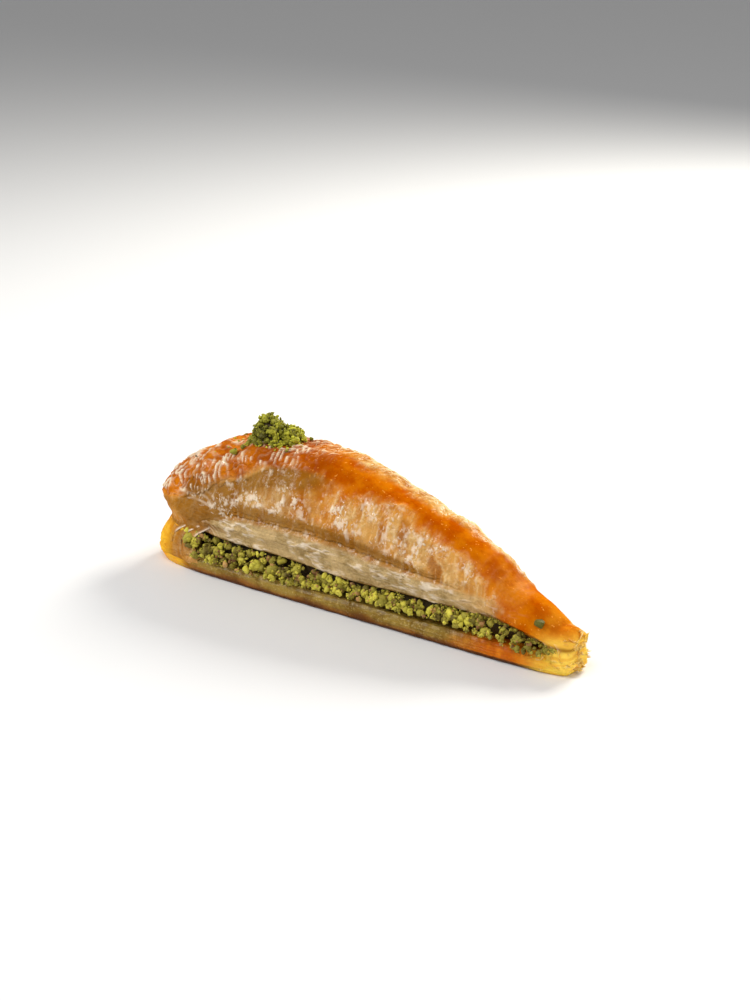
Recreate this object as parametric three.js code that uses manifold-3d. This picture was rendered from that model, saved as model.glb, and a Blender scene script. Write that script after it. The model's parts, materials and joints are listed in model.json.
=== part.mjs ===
// A carrot slice of baklava: one narrow wedge cut from a round tray. A low, syrupy stack of
// pastry sheets carries a layer of chopped pistachio. A tall, puffed stack of sheets closes
// over the nuts and meets the lower stack at the wide end and at the tip. A small heap of
// ground pistachio sits on the crest, and a few stray bits lie on the crust.
//
// Millimetres. +X runs from the wide end to the tip, +Z is up, and the origin is at the middle
// of the flat underside.
import * as THREE from "three";
import { mergeVertices } from "three/addons/utils/BufferGeometryUtils.js";
import Module from "manifold-3d";

const wasm = await Module();
wasm.setup();

// ---- Driving dimensions ----
const LENGTH = 164; // from the wide end to the tip
const WIDE_WIDTH = 50; // across the wide end, which was the tray's rim
const TIP_WIDTH = 13; // across the blunt tip, which was the tray's middle
const CORNER_POWER = 6; // superellipse power that rounds the outline's corners
const SPREAD = 1; // how far the lower stack stands out past the upper one at the sides
const TIP_BACK = 1.4; // how far the lower stack stops short of the upper one's tip
const CREST = 45.2; // the highest line of the pastry
const CREST_X = -40; // where the crest is highest
const LIP = 13.6; // lower edge of the upper stack along the cut sides
const SLAB = 5.4; // thickness of the lower stack under the nuts
const SEAM = 14; // where the two stacks meet at the wide end
const TIP_SEAM = 8; // where they meet at the tip
const GAP = 0.35; // clearance between pieces that lie on each other
const NUT = 1.9; // mean radius of a chopped nut
const GRAIN = 1.35; // mean radius of a clump of ground nut

const HALF = LENGTH / 2;
const SPINE_START = -HALF + 18.5; // the crest line ends this far inside the wide end
const SPINE_END = HALF - 6.5; // and this far inside the tip
const DOME_POWER = 2.6; // superellipse power of the upper stack's cross-section
const GOLDEN_ANGLE = Math.PI * (3 - Math.sqrt(5));
const UP = new THREE.Vector3(0, 0, 1);

// ---- Small helpers ----
// A step from 0 to 1 that starts at one place and takes a given run.
function ramp(x, start, run) {
  const t = THREE.MathUtils.clamp((x - start) / run, 0, 1);
  return t * t * (3 - 2 * t);
}

// A repeatable random number generator that returns values from 0 to 1.
function seeded(seed) {
  let a = seed;
  return () => {
    a = (a + 0x6d2b79f5) | 0;
    let t = Math.imul(a ^ (a >>> 15), 1 | a);
    t = (t + Math.imul(t ^ (t >>> 7), 61 | t)) ^ t;
    return ((t ^ (t >>> 14)) >>> 0) / 4294967296;
  };
}

// A mesh becomes an exact solid once its shared vertices are merged.
function toSolid(geometry) {
  const bare = new THREE.BufferGeometry();
  bare.setAttribute("position", geometry.getAttribute("position"));
  if (geometry.index) bare.setIndex(geometry.index);
  const merged = mergeVertices(bare, 1e-4);
  const triangles = [];
  const index = merged.index.array;
  for (let i = 0; i < index.length; i += 3) {
    const [a, b, c] = [index[i], index[i + 1], index[i + 2]];
    if (a !== b && b !== c && c !== a) triangles.push(a, b, c);
  }
  const vertProperties = merged.getAttribute("position").array;
  const triVerts = new Uint32Array(triangles);
  return new wasm.Manifold(new wasm.Mesh({ numProp: 3, vertProperties, triVerts }));
}

// The largest body of a solid, without the loose scraps that a cut or a stray chip leaves.
function largest(solid) {
  return solid.decompose().sort((a, b) => b.volume() - a.volume())[0];
}

function toGeometry(solid) {
  const mesh = solid.getMesh();
  const geometry = new THREE.BufferGeometry();
  geometry.setAttribute("position", new THREE.BufferAttribute(mesh.vertProperties, 3));
  geometry.setIndex(new THREE.BufferAttribute(mesh.triVerts, 1));
  geometry.computeVertexNormals();
  return geometry;
}

// Rings of points, each one closed loop, skinned from the first to the last. Rings that run
// anticlockwise seen from above, listed from the underside outwards and up, face outwards.
function skin(rings) {
  const count = rings[0].length;
  const position = rings.flat().flatMap((p) => p.toArray());
  const index = [];
  for (let r = 0; r + 1 < rings.length; r++) {
    for (let i = 0; i < count; i++) {
      const a = r * count + i;
      const b = r * count + ((i + 1) % count);
      index.push(a, b, b + count, a, b + count, a + count);
    }
  }
  const geometry = new THREE.BufferGeometry();
  geometry.setAttribute("position", new THREE.Float32BufferAttribute(position, 3));
  geometry.setIndex(index);
  return toSolid(geometry);
}

// ---- The slice's outline and spine ----
function halfWidth(x) {
  return THREE.MathUtils.mapLinear(x, -HALF, HALF, WIDE_WIDTH / 2, TIP_WIDTH / 2);
}

// A wedge with rounded corners seen from above, as evenly spaced points. It starts in the
// middle of the wide end and runs anticlockwise, along the front side (-Y) first. The sides
// stand a given distance out from the slice's own.
function wedgeOutline(count, start, end, out) {
  const fine = 4000;
  const round = (v) => Math.sign(v) * Math.abs(v) ** (2 / CORNER_POWER);
  const points = [];
  for (let i = 0; i <= fine; i++) {
    const angle = Math.PI + (2 * Math.PI * i) / fine;
    const x = THREE.MathUtils.mapLinear(round(Math.cos(angle)), -1, 1, start, end);
    points.push(new THREE.Vector2(x, (halfWidth(x) + out) * round(Math.sin(angle))));
  }
  const lengths = [0];
  for (let i = 1; i <= fine; i++) {
    lengths.push(lengths[i - 1] + points[i].distanceTo(points[i - 1]));
  }
  const outline = [];
  for (let i = 0, j = 1; i < count; i++) {
    const wanted = (lengths[fine] * i) / count;
    while (lengths[j] < wanted) j++;
    const share = (wanted - lengths[j - 1]) / (lengths[j] - lengths[j - 1]);
    outline.push(points[j - 1].clone().lerp(points[j], share));
  }
  // Mirroring one half keeps opposite points on the same X, so they meet on the spine.
  for (let i = 1; i < count / 2; i++) {
    outline[count - i].set(outline[i].x, -outline[i].y);
  }
  outline[0].y = 0;
  outline[count / 2].y = 0;
  return outline;
}

function spineX(x) {
  return THREE.MathUtils.mapLinear(x, -HALF, HALF, SPINE_START, SPINE_END);
}

// A point on the line from the spine to an outline point, a given depth inside the outline
// and at most a given share of the way in.
function inside(o, depth, z, deepest = 1) {
  const sx = spineX(o.x);
  const reach = Math.hypot(o.x - sx, o.y);
  const share = 1 - Math.min(depth / reach, deepest);
  return new THREE.Vector3(sx + (o.x - sx) * share, o.y * share, z);
}

// ---- Heights along the slice ----
// The crest rises from the wide end to its highest place and falls along a power curve. Just
// before the tip it drops a step, onto a low rounded nose.
const RISE = { drop: 19.2, power: 1.5 };
const FALL = { drop: 36.2, power: 2.55 };
const STEP_DOWN = { drop: 7.5, start: 44.5, run: 14 };
const NOSE = { height: 17.6, x: 65, end: 76, drop: 5.5 };
const CREST_BLEND = 8; // power that blends the falling crest into the nose

function crestHeight(x) {
  const before = Math.max(0, (CREST_X - x) / (CREST_X + HALF));
  const after = Math.max(0, (x - CREST_X) / (HALF - CREST_X));
  const slope = CREST - RISE.drop * before ** RISE.power - FALL.drop * after ** FALL.power;
  const body = slope - STEP_DOWN.drop * ramp(x, STEP_DOWN.start, STEP_DOWN.run);
  const past = Math.max(0, (x - NOSE.x) / (NOSE.end - NOSE.x));
  const nose = NOSE.height - NOSE.drop * past ** 2;
  return (Math.max(0, body) ** CREST_BLEND + nose ** CREST_BLEND) ** (1 / CREST_BLEND);
}

// The stacks close on each other over these stretches at the wide end and at the tip.
const WIDE_CLOSE = { start: 62, run: 8 };
const TIP_CLOSE = { start: 52, run: 22 };

function lipHeight(x) {
  const wide = (SEAM + GAP - LIP) * ramp(-x, WIDE_CLOSE.start, WIDE_CLOSE.run);
  const tip = (LIP - TIP_SEAM) * ramp(x, TIP_CLOSE.start, TIP_CLOSE.run);
  return LIP + wide - tip;
}

function slabHeight(x) {
  const wide = (SEAM - SLAB) * ramp(-x, WIDE_CLOSE.start, WIDE_CLOSE.run);
  const tip = (TIP_SEAM - GAP - SLAB) * ramp(x, 66, 9);
  return SLAB + wide + tip;
}

// The fold line where the outer sheets end, above the pale band of the inner ones. It runs
// level and then falls towards the tip.
function foldHeight(x) {
  return 23.5 - 4.5 * THREE.MathUtils.clamp((x + 10) / 50, 0, 1);
}

// The edge of the browned top sheets: high on the sides, low round the wide end.
function crustEdge(x) {
  return 21 + 18.5 * ramp(x, -HALF, 62);
}

// ---- Relief of the upper stack ----
// Soft puffs, 10 to 25 mm long, from three crossing waves.
function puffs(p) {
  const long = Math.sin(p.x / 4.1 + 1.3 * Math.sin(p.z / 6.5) + p.y / 9);
  const slanted = Math.sin(p.x / 2.7 - p.z / 5.2 + 2.1);
  const level = Math.sin(p.z / 2.9 + 1.7 * Math.sin(p.x / 7.3 + p.y / 12));
  return 0.34 * long + 0.22 * slanted + 0.26 * level;
}

// The band of inner sheets below the fold, and the browned sheets above their own edge,
// stand out from the pale face between them.
const BAND = { out: 1.5, start: -70, grow: 14, fade: 30, run: 34 };
const CRUST = { out: 1.1, fade: -22, run: 26 };

function steps(p) {
  const along = ramp(p.x, BAND.start, BAND.grow) * (1 - ramp(p.x, BAND.fade, BAND.run));
  const band = BAND.out * along * ramp(foldHeight(p.x), p.z, 1.4);
  const crust = CRUST.out * (1 - ramp(p.x, CRUST.fade, CRUST.run)) * ramp(p.z, crustEdge(p.x), 1.6);
  return band + crust;
}

// Both stacks draw in where they are pinched together at the wide end.
function pinch(x) {
  return 2.2 * ramp(-x, 70, 8);
}

// ---- Upper stack ----
const OUTLINE_COUNT = 104;
// Each ring lies at one share of the way from the lip to the spine, on a superellipse.
const UPPER_SHARES = [
  0, 0.035, 0.09, 0.15, 0.21, 0.26, 0.31, 0.36, 0.42, 0.48, 0.54, 0.6, 0.66, 0.72, 0.79, 0.86,
  0.93, 1,
];
const TUCK = 1.5; // how far the lip's edge draws in under the face

function upperPoint(o, share) {
  const sx = spineX(o.x);
  const angle = (share * Math.PI) / 2;
  const out = Math.max(0, Math.cos(angle)) ** (2 / DOME_POWER);
  const up = Math.sin(angle) ** (2 / DOME_POWER);
  const lip = lipHeight(o.x);
  const z = lip + (crestHeight(sx) - lip) * up;
  const p = new THREE.Vector3(sx + (o.x - sx) * out, o.y * out, z);
  // The normal of a superellipse, over the line from the spine.
  const level = new THREE.Vector3(o.x - sx, o.y, 0).normalize();
  const normal = level.clone().multiplyScalar(out ** (DOME_POWER - 1));
  normal.addScaledVector(UP, up ** (DOME_POWER - 1)).normalize();
  const relief = puffs(p) * ramp(share, 0, 0.12) + steps(p);
  const inward = TUCK * (1 - ramp(share, 0, 0.06)) + pinch(o.x) * (1 - ramp(share, 0, 0.2));
  return p.addScaledVector(normal, relief).addScaledVector(level, -inward);
}

// Stray bits of nut on the crust's front side. Each has its place along the outline, its share
// of the way from the lip to the spine, and its radius.
const STRAYS = [
  { x: 71, share: 0.58, radius: 1.5 },
  { x: -55, share: 0.66, radius: 1.2 },
];

function upperStack() {
  const outline = wedgeOutline(OUTLINE_COUNT, -HALF + 0.4, HALF, 0);
  const under = (deepest) =>
    outline.map((o) => inside(o, deepest === 1 ? LENGTH : 5, lipHeight(o.x) + 0.2, deepest));
  const outside = UPPER_SHARES.map((share) => outline.map((o) => upperPoint(o, share)));
  const stack = skin([under(1), under(0.3), ...outside]);
  const random = seeded(3);
  const bits = STRAYS.map(({ x, share, radius }) => {
    const place = upperPoint(outline.find((o) => o.x > x), share);
    return toSolid(nutChip(radius, random).translate(...place.toArray()));
  });
  return wasm.Manifold.union([stack, ...bits]);
}

// ---- Lower stack ----
// A slab whose ends curl up to the seam and cradle the nuts. Each ring is a depth inside the
// outline, and a height as a share of the rim's.
const LOWER_SIDE = [
  { depth: 0.7, share: 0 },
  { depth: 0.2, share: 0.13 },
  { depth: 0, share: 0.42 },
  { depth: 0.25, share: 0.72 },
  { depth: 1.4, share: 1 },
];
const RIM_DEPTH = 3.8;
const CRADLE_DEPTH = 9.5;
const TIP_CURL = 0.8; // how far the underside draws back where it lifts at the tip

function lowerStack() {
  const outline = wedgeOutline(OUTLINE_COUNT, -HALF, HALF - TIP_BACK, SPREAD);
  const side = LOWER_SIDE.map(({ depth, share }) =>
    outline.map((o, i) => {
      const drawn = pinch(o.x) * ramp(share, 0.4, 0.6);
      const curl = TIP_CURL * ramp(o.x, 70, 9) * (1 - ramp(share, 0, 0.5));
      const ripple = 0.25 * Math.sin(i * 0.9 + 2 * share) * Math.min(1, 4 * share);
      return inside(o, depth + drawn + curl + ripple, slabHeight(o.x) * share, 0.5);
    }),
  );
  return skin([
    outline.map((o) => inside(o, LENGTH, 0)),
    ...side,
    outline.map((o) => inside(o, RIM_DEPTH, slabHeight(o.x) - 0.1, 0.4)),
    outline.map((o) => inside(o, CRADLE_DEPTH, SLAB, 0.75)),
    outline.map((o) => inside(o, LENGTH, SLAB)),
  ]);
}

// ---- Chopped nuts ----
// A nut chip is an icosahedron whose corners are pulled in by different amounts.
function nutChip(radius, random) {
  const corner = new THREE.Vector3();
  const bare = new THREE.BufferGeometry();
  bare.setAttribute("position", new THREE.IcosahedronGeometry(radius, 0).getAttribute("position"));
  const chip = mergeVertices(bare);
  const position = chip.getAttribute("position");
  for (let i = 0; i < position.count; i++) {
    corner.fromBufferAttribute(position, i).multiplyScalar(0.78 + 0.22 * random());
    position.setXYZ(i, ...corner.toArray());
  }
  const turn = new THREE.Euler(6.3 * random(), 6.3 * random(), 6.3 * random());
  return chip.applyMatrix4(new THREE.Matrix4().makeRotationFromEuler(turn));
}

// ---- Pistachio layer ----
// A core between the two stacks, with two rows of chips that stand out along both cut sides.
const LAYER_START = -HALF + 13;
const LAYER_END = HALF - 12;
const CORE_INSET = 2.9; // how far the core lies inside the cut sides
const CHIP_STEP = 3.95;

function layerCore() {
  const outline = wedgeOutline(64, LAYER_START, LAYER_END, -CORE_INSET);
  const low = SLAB + GAP;
  const high = (o) => lipHeight(o.x) - GAP;
  return skin([
    outline.map((o) => new THREE.Vector3(o.x, 0, low)),
    outline.map((o) => new THREE.Vector3(o.x, o.y, low)),
    outline.map((o) => new THREE.Vector3(o.x, o.y, high(o))),
    outline.map((o) => new THREE.Vector3(o.x, 0, high(o))),
  ]);
}

// The lower row stands out to the slab's edge, and the upper row lies back under the lip.
function sideChip(x, side, row, random) {
  const place = x + CHIP_STEP * (0.5 * row + 0.3 * (random() - 0.5));
  const low = slabHeight(place) + GAP;
  const high = lipHeight(place) - GAP;
  const radius = Math.min(NUT * (0.75 + 0.5 * random()), 0.55 * (high - low));
  const up = row === 0 ? low + 0.75 * radius : high - 0.9 * radius - 0.5 * random();
  const depth = row === 0 ? 0.8 * radius + 0.5 * random() : radius + 1 + 0.8 * random();
  return toSolid(nutChip(radius, random).translate(place, side * (halfWidth(place) - depth), up));
}

function pistachioLayer(lower, upper) {
  const random = seeded(7);
  const chips = [];
  for (const side of [-1, 1]) {
    for (let x = LAYER_START + 1; x < LAYER_END + 2; x += CHIP_STEP) {
      for (const row of [0, 1]) chips.push(sideChip(x, side, row, random));
    }
  }
  const layer = wasm.Manifold.union([layerCore(), ...chips]);
  return largest(layer.subtract(lower.translate(0, 0, GAP)).subtract(upper.translate(0, 0, -GAP)));
}

// ---- Heap of ground pistachio on the crest ----
// Two joined mounds. Each has its middle, its radius and its height above the crest.
const MOUNDS = [
  { x: -45, y: -1.3, radius: 8.8, height: 10, grains: 44 },
  { x: -36.5, y: 1, radius: 6.4, height: 7.2, grains: 22 },
];
const BURIED = 7; // how far a mound's core runs down before the crust cuts it off

// Share of a mound's height at a share of its radius: a blunt cone.
function moundShape(share) {
  return (1 - share ** 1.35) * (1 - 0.12 * Math.sin(Math.PI * share));
}

function mound({ x, y, radius, height, grains }, random) {
  const core = radius - 0.7 * GRAIN;
  const profile = [new THREE.Vector2(0, -BURIED), new THREE.Vector2(core, -BURIED)];
  const levels = 5;
  for (let i = 0; i <= levels; i++) {
    const share = 1 - i / levels;
    profile.push(new THREE.Vector2(core * share, (height - GRAIN) * moundShape(share)));
  }
  const lathe = new THREE.LatheGeometry(profile, 14);
  lathe.rotateX(Math.PI / 2);
  const pieces = [toSolid(lathe)];
  for (let i = 0; i < grains; i++) {
    const share = Math.sqrt((i + 0.5) / grains);
    const angle = i * GOLDEN_ANGLE;
    const grain = nutChip(GRAIN * (0.75 + 0.5 * random()), random);
    const up = (height - GRAIN) * moundShape(share) + 0.35 * random();
    grain.translate(core * share * Math.cos(angle), core * share * Math.sin(angle), up);
    pieces.push(toSolid(grain));
  }
  return wasm.Manifold.union(pieces).translate(x, y, crestHeight(x) - 0.3);
}

function pistachioHeap(upper) {
  const random = seeded(11);
  const heap = wasm.Manifold.union(MOUNDS.map((m) => mound(m, random)));
  return largest(heap.subtract(upper.translate(0, 0, GAP)));
}

// ---- Materials and assembly ----
const browned = new THREE.MeshStandardMaterial({ color: 0xd07a24, roughness: 0.38, metalness: 0 });
const syrupy = new THREE.MeshStandardMaterial({ color: 0xb98232, roughness: 0.3, metalness: 0 });
const chopped = new THREE.MeshStandardMaterial({ color: 0x8a942c, roughness: 0.7, metalness: 0 });
const ground = new THREE.MeshStandardMaterial({ color: 0x7d9423, roughness: 0.85, metalness: 0 });

function piece(name, solid, material) {
  const mesh = new THREE.Mesh(toGeometry(solid), material);
  mesh.name = name;
  return mesh;
}

const lower = lowerStack();
const upper = upperStack();
const slice = new THREE.Group();
slice.add(
  piece("lower_pastry", lower, syrupy),
  piece("pistachio_filling", pistachioLayer(lower, upper), chopped),
  piece("upper_pastry", upper, browned),
  piece("pistachio_heap", pistachioHeap(upper), ground),
);

export default slice;
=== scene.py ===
# %% [markdown]
# # A carrot slice of pistachio baklava
#
# A carrot slice is a narrow wedge cut from a round tray. A low stack of pastry sheets, soaked in
# syrup, carries a layer of chopped pistachio. A tall stack of buttered sheets closes over the
# nuts, puffs up in the oven and browns along its crest. A pinch of ground pistachio sits on top.
#
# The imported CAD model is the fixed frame. It has the true main shapes with few faces. Here each
# of its four solids is replaced by a finer surface worked out from the same formulas, so that
# thin sheets, wrinkles and single nut bits show.

# %% Load the frame
import json
import math

import bmesh
import bpy
import numpy as np
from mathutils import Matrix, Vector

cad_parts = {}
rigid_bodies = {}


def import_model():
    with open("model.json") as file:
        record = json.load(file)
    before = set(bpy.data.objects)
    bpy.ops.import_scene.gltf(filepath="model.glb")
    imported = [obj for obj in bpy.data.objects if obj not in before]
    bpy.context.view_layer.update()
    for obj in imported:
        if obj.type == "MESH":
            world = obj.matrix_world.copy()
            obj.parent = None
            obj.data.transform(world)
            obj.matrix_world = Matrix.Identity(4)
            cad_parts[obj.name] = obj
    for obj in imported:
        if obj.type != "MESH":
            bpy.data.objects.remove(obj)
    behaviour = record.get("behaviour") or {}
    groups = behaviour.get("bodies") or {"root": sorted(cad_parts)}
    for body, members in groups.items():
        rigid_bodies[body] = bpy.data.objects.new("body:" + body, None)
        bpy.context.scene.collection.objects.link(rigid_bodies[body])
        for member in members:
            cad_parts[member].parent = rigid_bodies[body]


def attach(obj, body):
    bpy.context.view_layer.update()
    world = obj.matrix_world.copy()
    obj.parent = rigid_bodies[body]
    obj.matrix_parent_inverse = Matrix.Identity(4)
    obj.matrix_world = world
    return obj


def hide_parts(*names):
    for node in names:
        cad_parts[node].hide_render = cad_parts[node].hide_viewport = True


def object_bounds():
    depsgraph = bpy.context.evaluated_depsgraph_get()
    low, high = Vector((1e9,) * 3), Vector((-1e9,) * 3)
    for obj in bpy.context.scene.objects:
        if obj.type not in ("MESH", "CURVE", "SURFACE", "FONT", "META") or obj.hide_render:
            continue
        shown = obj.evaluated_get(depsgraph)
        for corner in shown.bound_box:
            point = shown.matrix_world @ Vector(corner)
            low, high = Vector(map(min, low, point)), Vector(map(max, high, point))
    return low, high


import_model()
cad_low, cad_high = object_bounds()
print("CAD box in mm:", [round(1000 * v, 1) for v in (*cad_low, *cad_high)])

# %% [markdown]
# ## Units and driving dimensions
#
# A pastry is small, so shapes are written in millimetres and brought to metres when they become
# meshes. The length comes from the frame. The other sizes are those of the real slice: how wide
# it is at the tray's rim and at its middle, how high the crest is, and where the sheets meet.

# %% Driving dimensions
MM = 0.001
LENGTH = 2 * round(cad_high.x / MM)
HALF = LENGTH / 2
WIDE_WIDTH = 50.0  # across the wide end
TIP_WIDTH = 13.0  # across the blunt tip
CORNER_POWER = 6.0  # superellipse power that rounds the outline's corners
CREST = 45.2  # the highest line of the pastry
CREST_X = -40.0  # where the crest is highest
LIP = 13.6  # lower edge of the upper stack along the cut sides
SLAB = 5.4  # thickness of the lower stack under the nuts
SEAM = 14.0  # where the two stacks meet at the wide end
TIP_SEAM = 8.0  # where they meet at the tip
GAP = 0.35  # clearance between pieces that lie on each other
DOME_POWER = 2.6  # superellipse power of the upper stack's cross-section
UPPER_START = -HALF - 0.6
UPPER_END = HALF - 2.2  # the dense part of the tip; thin flakes reach further
LOWER_START = -HALF - 0.8
LOWER_END = HALF - 3.0
SPINE_START = -HALF + 18.5
SPINE_END = HALF - 6.5
print("slice length:", LENGTH, "mm")

# %% [markdown]
# ## Small helpers
#
# Everything here is a smooth function of position, so the helpers are a soft step, a soft hill
# and a smooth random field. Value noise is the simplest field: random numbers on a lattice,
# blended between its corners. Its folded form has sharp creases where the value passes through
# zero, which is how a thin dry sheet crumples. In every step and hill below, places and widths
# are in millimetres. A noise gives the size of its blobs and then its seed.

# %% Helpers for shapes
LATTICE = 32  # corners along each side of the random field, after which it repeats


def ramp(x, start, run):
    """A soft step from 0 to 1 that begins at start and takes run: t * t * (3 - 2 t)."""
    t = np.clip((np.asarray(x, float) - start) / run, 0, 1)
    return t * t * (3 - 2 * t)


def bump(x, middle, width):
    """A soft hill that is 1 at its middle and falls to 0: exp(-((x - middle) / width)^2)."""
    return np.exp(-(((x - middle) / width) ** 2))


def noise(points, size, seed):
    """Smooth random values from -1 to 1 with blobs about as large as size, by value noise.

    The eight corner values of the lattice cell round each point are blended with soft steps.
    Each seed has a lattice of its own and reads it from another place."""
    lattice = np.random.default_rng(seed).uniform(-1, 1, (LATTICE, LATTICE, LATTICE))
    p = np.asarray(points, float) / np.asarray(size, float) + 57.3 + seed * 1.37
    cell = np.floor(p).astype(int)
    f = p - cell
    f = f * f * (3 - 2 * f)
    total = 0
    for corner in np.ndindex(2, 2, 2):
        i, j, k = np.moveaxis((cell + corner) % LATTICE, -1, 0)
        weight = np.prod(np.where(np.array(corner) == 1, f, 1 - f), axis=-1)
        total = total + weight * lattice[i, j, k]
    return total


def creases(points, size, seed):
    """Ridges from 0 to 1 with sharp crests: 1 - |noise|, squared to thin them."""
    return (1 - np.abs(noise(points, size, seed)) * 1.6).clip(0, 1) ** 2


def unit(v):
    """Each vector divided by its length."""
    return v / np.maximum(np.linalg.norm(v, axis=-1, keepdims=True), 1e-9)


print("noise at three places:", noise(5 * np.eye(3), (4, 4, 4), 1).round(2))


# %% Helpers for meshes
def new_piece(name, points, faces):
    """A smooth object from points in millimetres and faces of equal size.

    Unused points are left out. It returns the object and the numbers of the points that it uses."""
    used, flat = np.unique(faces, return_inverse=True)
    faces = flat.reshape(faces.shape)
    mesh = bpy.data.meshes.new(name)
    mesh.vertices.add(len(used))
    mesh.vertices.foreach_set("co", (points[used] * MM).astype(np.float32).ravel())
    mesh.loops.add(faces.size)
    mesh.loops.foreach_set("vertex_index", faces.astype(np.int32).ravel())
    mesh.polygons.add(len(faces))
    starts = np.arange(len(faces), dtype=np.int32) * faces.shape[1]
    mesh.polygons.foreach_set("loop_start", starts)
    mesh.update(calc_edges=True)
    mesh.validate()
    mesh.polygons.foreach_set("use_smooth", np.ones(len(faces), bool))
    piece = bpy.data.objects.new(name, mesh)
    bpy.context.scene.collection.objects.link(piece)
    return piece, used


def skin_faces(rings, count):
    """Quads between neighbouring rings of count points each, closed round the ring."""
    r = np.arange(rings - 1)[:, None] * count
    i = np.arange(count)[None, :]
    a = r + i
    b = r + (i + 1) % count
    return np.stack([a, b, b + count, a + count], -1).reshape(-1, 4)


def weld_mirrored(faces, rings, count):
    """The first and last ring lie flat on the spine, so their mirrored points become one."""
    weld = np.arange(rings * count)
    j = np.arange(count)
    twin = np.minimum(j, (count - j) % count)
    weld[:count] = twin
    weld[-count:] = twin + (rings - 1) * count
    return weld[faces]


def store(piece, used, **values):
    """Keeps one number for each vertex in a named attribute, which the materials read."""
    for name, value in values.items():
        layer = piece.data.attributes.new(name, "FLOAT", "POINT")
        layer.data.foreach_set("value", np.ravel(value)[used].astype(np.float32))


def triangles(piece):
    """How many triangles a piece's faces make, before its modifiers."""
    return sum(len(p.vertices) - 2 for p in piece.data.polygons)


print("two rings of six points make", len(skin_faces(2, 6)), "quads")

# %% [markdown]
# ## Camera, floor and light
#
# The slice is seen from its tip's side, a little from above, with its long cut side turned to
# the left. A long lens from 0.6 m keeps the wedge's taper natural. The light is that of a bright
# room: a large soft window on the left draws white streaks on the wrinkles, and a strong light
# from behind on the right shines along the crest and through the thin golden ends.

# %% Camera
CAMERA_AZIMUTH = math.radians(42.34)
CAMERA_ELEVATION = math.radians(22)
CAMERA_DISTANCE = 600 * MM
TARGET = np.array([0, 0, 15]) * MM
back = np.array(
    [
        math.sin(CAMERA_AZIMUTH) * math.cos(CAMERA_ELEVATION),
        -math.cos(CAMERA_AZIMUTH) * math.cos(CAMERA_ELEVATION),
        math.sin(CAMERA_ELEVATION),
    ]
)
camera_data = bpy.data.cameras.new("camera")
camera_data.lens = 68.77
camera_data.sensor_width = 36
camera_data.shift_x = -0.0022
camera_data.shift_y = 0.057
camera_data.clip_start = 0.01
camera = bpy.data.objects.new("camera", camera_data)
camera.location = TARGET + back * CAMERA_DISTANCE
camera.rotation_euler = (math.pi / 2 - CAMERA_ELEVATION, 0, CAMERA_AZIMUTH)
bpy.context.scene.collection.objects.link(camera)
bpy.context.scene.camera = camera
print("camera stands at, in mm:", [round(v / MM) for v in camera.location])

# %% Light
bpy.context.scene.view_settings.view_transform = "Standard"


def area_light(name, azimuth, elevation, distance, size, watts, color=(1, 1, 1)):
    """A square soft light aimed at the slice, with its distance and size in metres.

    It stands on a sphere: azimuth 0 is in front, at -Y, and the elevation counts from the floor."""
    data = bpy.data.lights.new(name, "AREA")
    data.size = size
    data.energy = watts
    data.color = color
    light = bpy.data.objects.new(name, data)
    a, e = math.radians(azimuth), math.radians(elevation)
    light.location = (
        distance * math.sin(a) * math.cos(e),
        -distance * math.cos(a) * math.cos(e),
        distance * math.sin(e),
    )
    light.rotation_euler = (math.pi / 2 - e, 0, a)
    bpy.context.scene.collection.objects.link(light)


# Each has an azimuth and an elevation in degrees, a distance, a size and its watts.
area_light("window", -42, 34, 0.9, 0.3, 4.2)
area_light("window_high", 10, 70, 0.9, 0.3, 2.0)
area_light("back_light", 182, 34, 0.8, 0.35, 8, (1, 0.97, 0.9))
area_light("tip_fill", 78, 18, 0.7, 0.4, 1.4)

world = bpy.data.worlds.new("pale_room")
world.use_nodes = True
world.node_tree.nodes["Background"].inputs["Color"].default_value = (1, 1, 1, 1)
world.node_tree.nodes["Background"].inputs["Strength"].default_value = 0.3
bpy.context.scene.world = world
print("lights:", [light.name for light in bpy.data.lights])

# %% Floor
FLOOR_SIZE = 6.0  # metres
floor_points = np.array([[-1, -1, 0], [1, -1, 0], [1, 1, 0], [-1, 1, 0]]) * FLOOR_SIZE / 2 / MM
floor, _ = new_piece("floor", floor_points, np.array([[0, 1, 2, 3]]))
floor_material = bpy.data.materials.new("pale_floor")
floor_material.use_nodes = True
floor_shader = floor_material.node_tree.nodes["Principled BSDF"]
floor_shader.inputs["Base Color"].default_value = (0.8, 0.8, 0.8, 1)
floor_shader.inputs["Roughness"].default_value = 0.5
floor.data.materials.append(floor_material)
print("floor:", FLOOR_SIZE, "m wide")

# %% [markdown]
# ## The slice's outline, crest and edges
#
# Seen from above the slice is a wedge with rounded corners, a superellipse squeezed towards the
# tip. Every surface below is drawn over this outline: a point is named by how far round the
# outline it lies and how far it is on the way to the spine, the line under the crest. The heights
# of the crest, the lip and the slab change along the slice by simple ramps and power curves.


# %% Outline
def half_width(x):
    """Half the slice's width, which narrows evenly from the wide end to the tip."""
    share = (np.asarray(x, float) + HALF) / LENGTH
    return (WIDE_WIDTH + (TIP_WIDTH - WIDE_WIDTH) * share) / 2


def wedge_outline(turn, start, end, out):
    """Outline points at shares of the way round, from the middle of the wide end and -Y first.

    x and y follow sign(c) |c|^(2/p) of a turning angle. The angle is spaced by arc length. out
    makes each side that much wider."""
    angle = np.pi + 2 * np.pi * np.linspace(0, 1, 8001)
    c, s = np.cos(angle), np.sin(angle)
    x = start + (end - start) * (1 + np.sign(c) * np.abs(c) ** (2 / CORNER_POWER)) / 2
    y = (half_width(x) + out) * np.sign(s) * np.abs(s) ** (2 / CORNER_POWER)
    walked = np.r_[0, np.cumsum(np.hypot(np.diff(x), np.diff(y)))]
    walked /= walked[-1]
    turn = np.asarray(turn, float) % 1
    return np.interp(turn, walked, x), np.interp(turn, walked, y)


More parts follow.
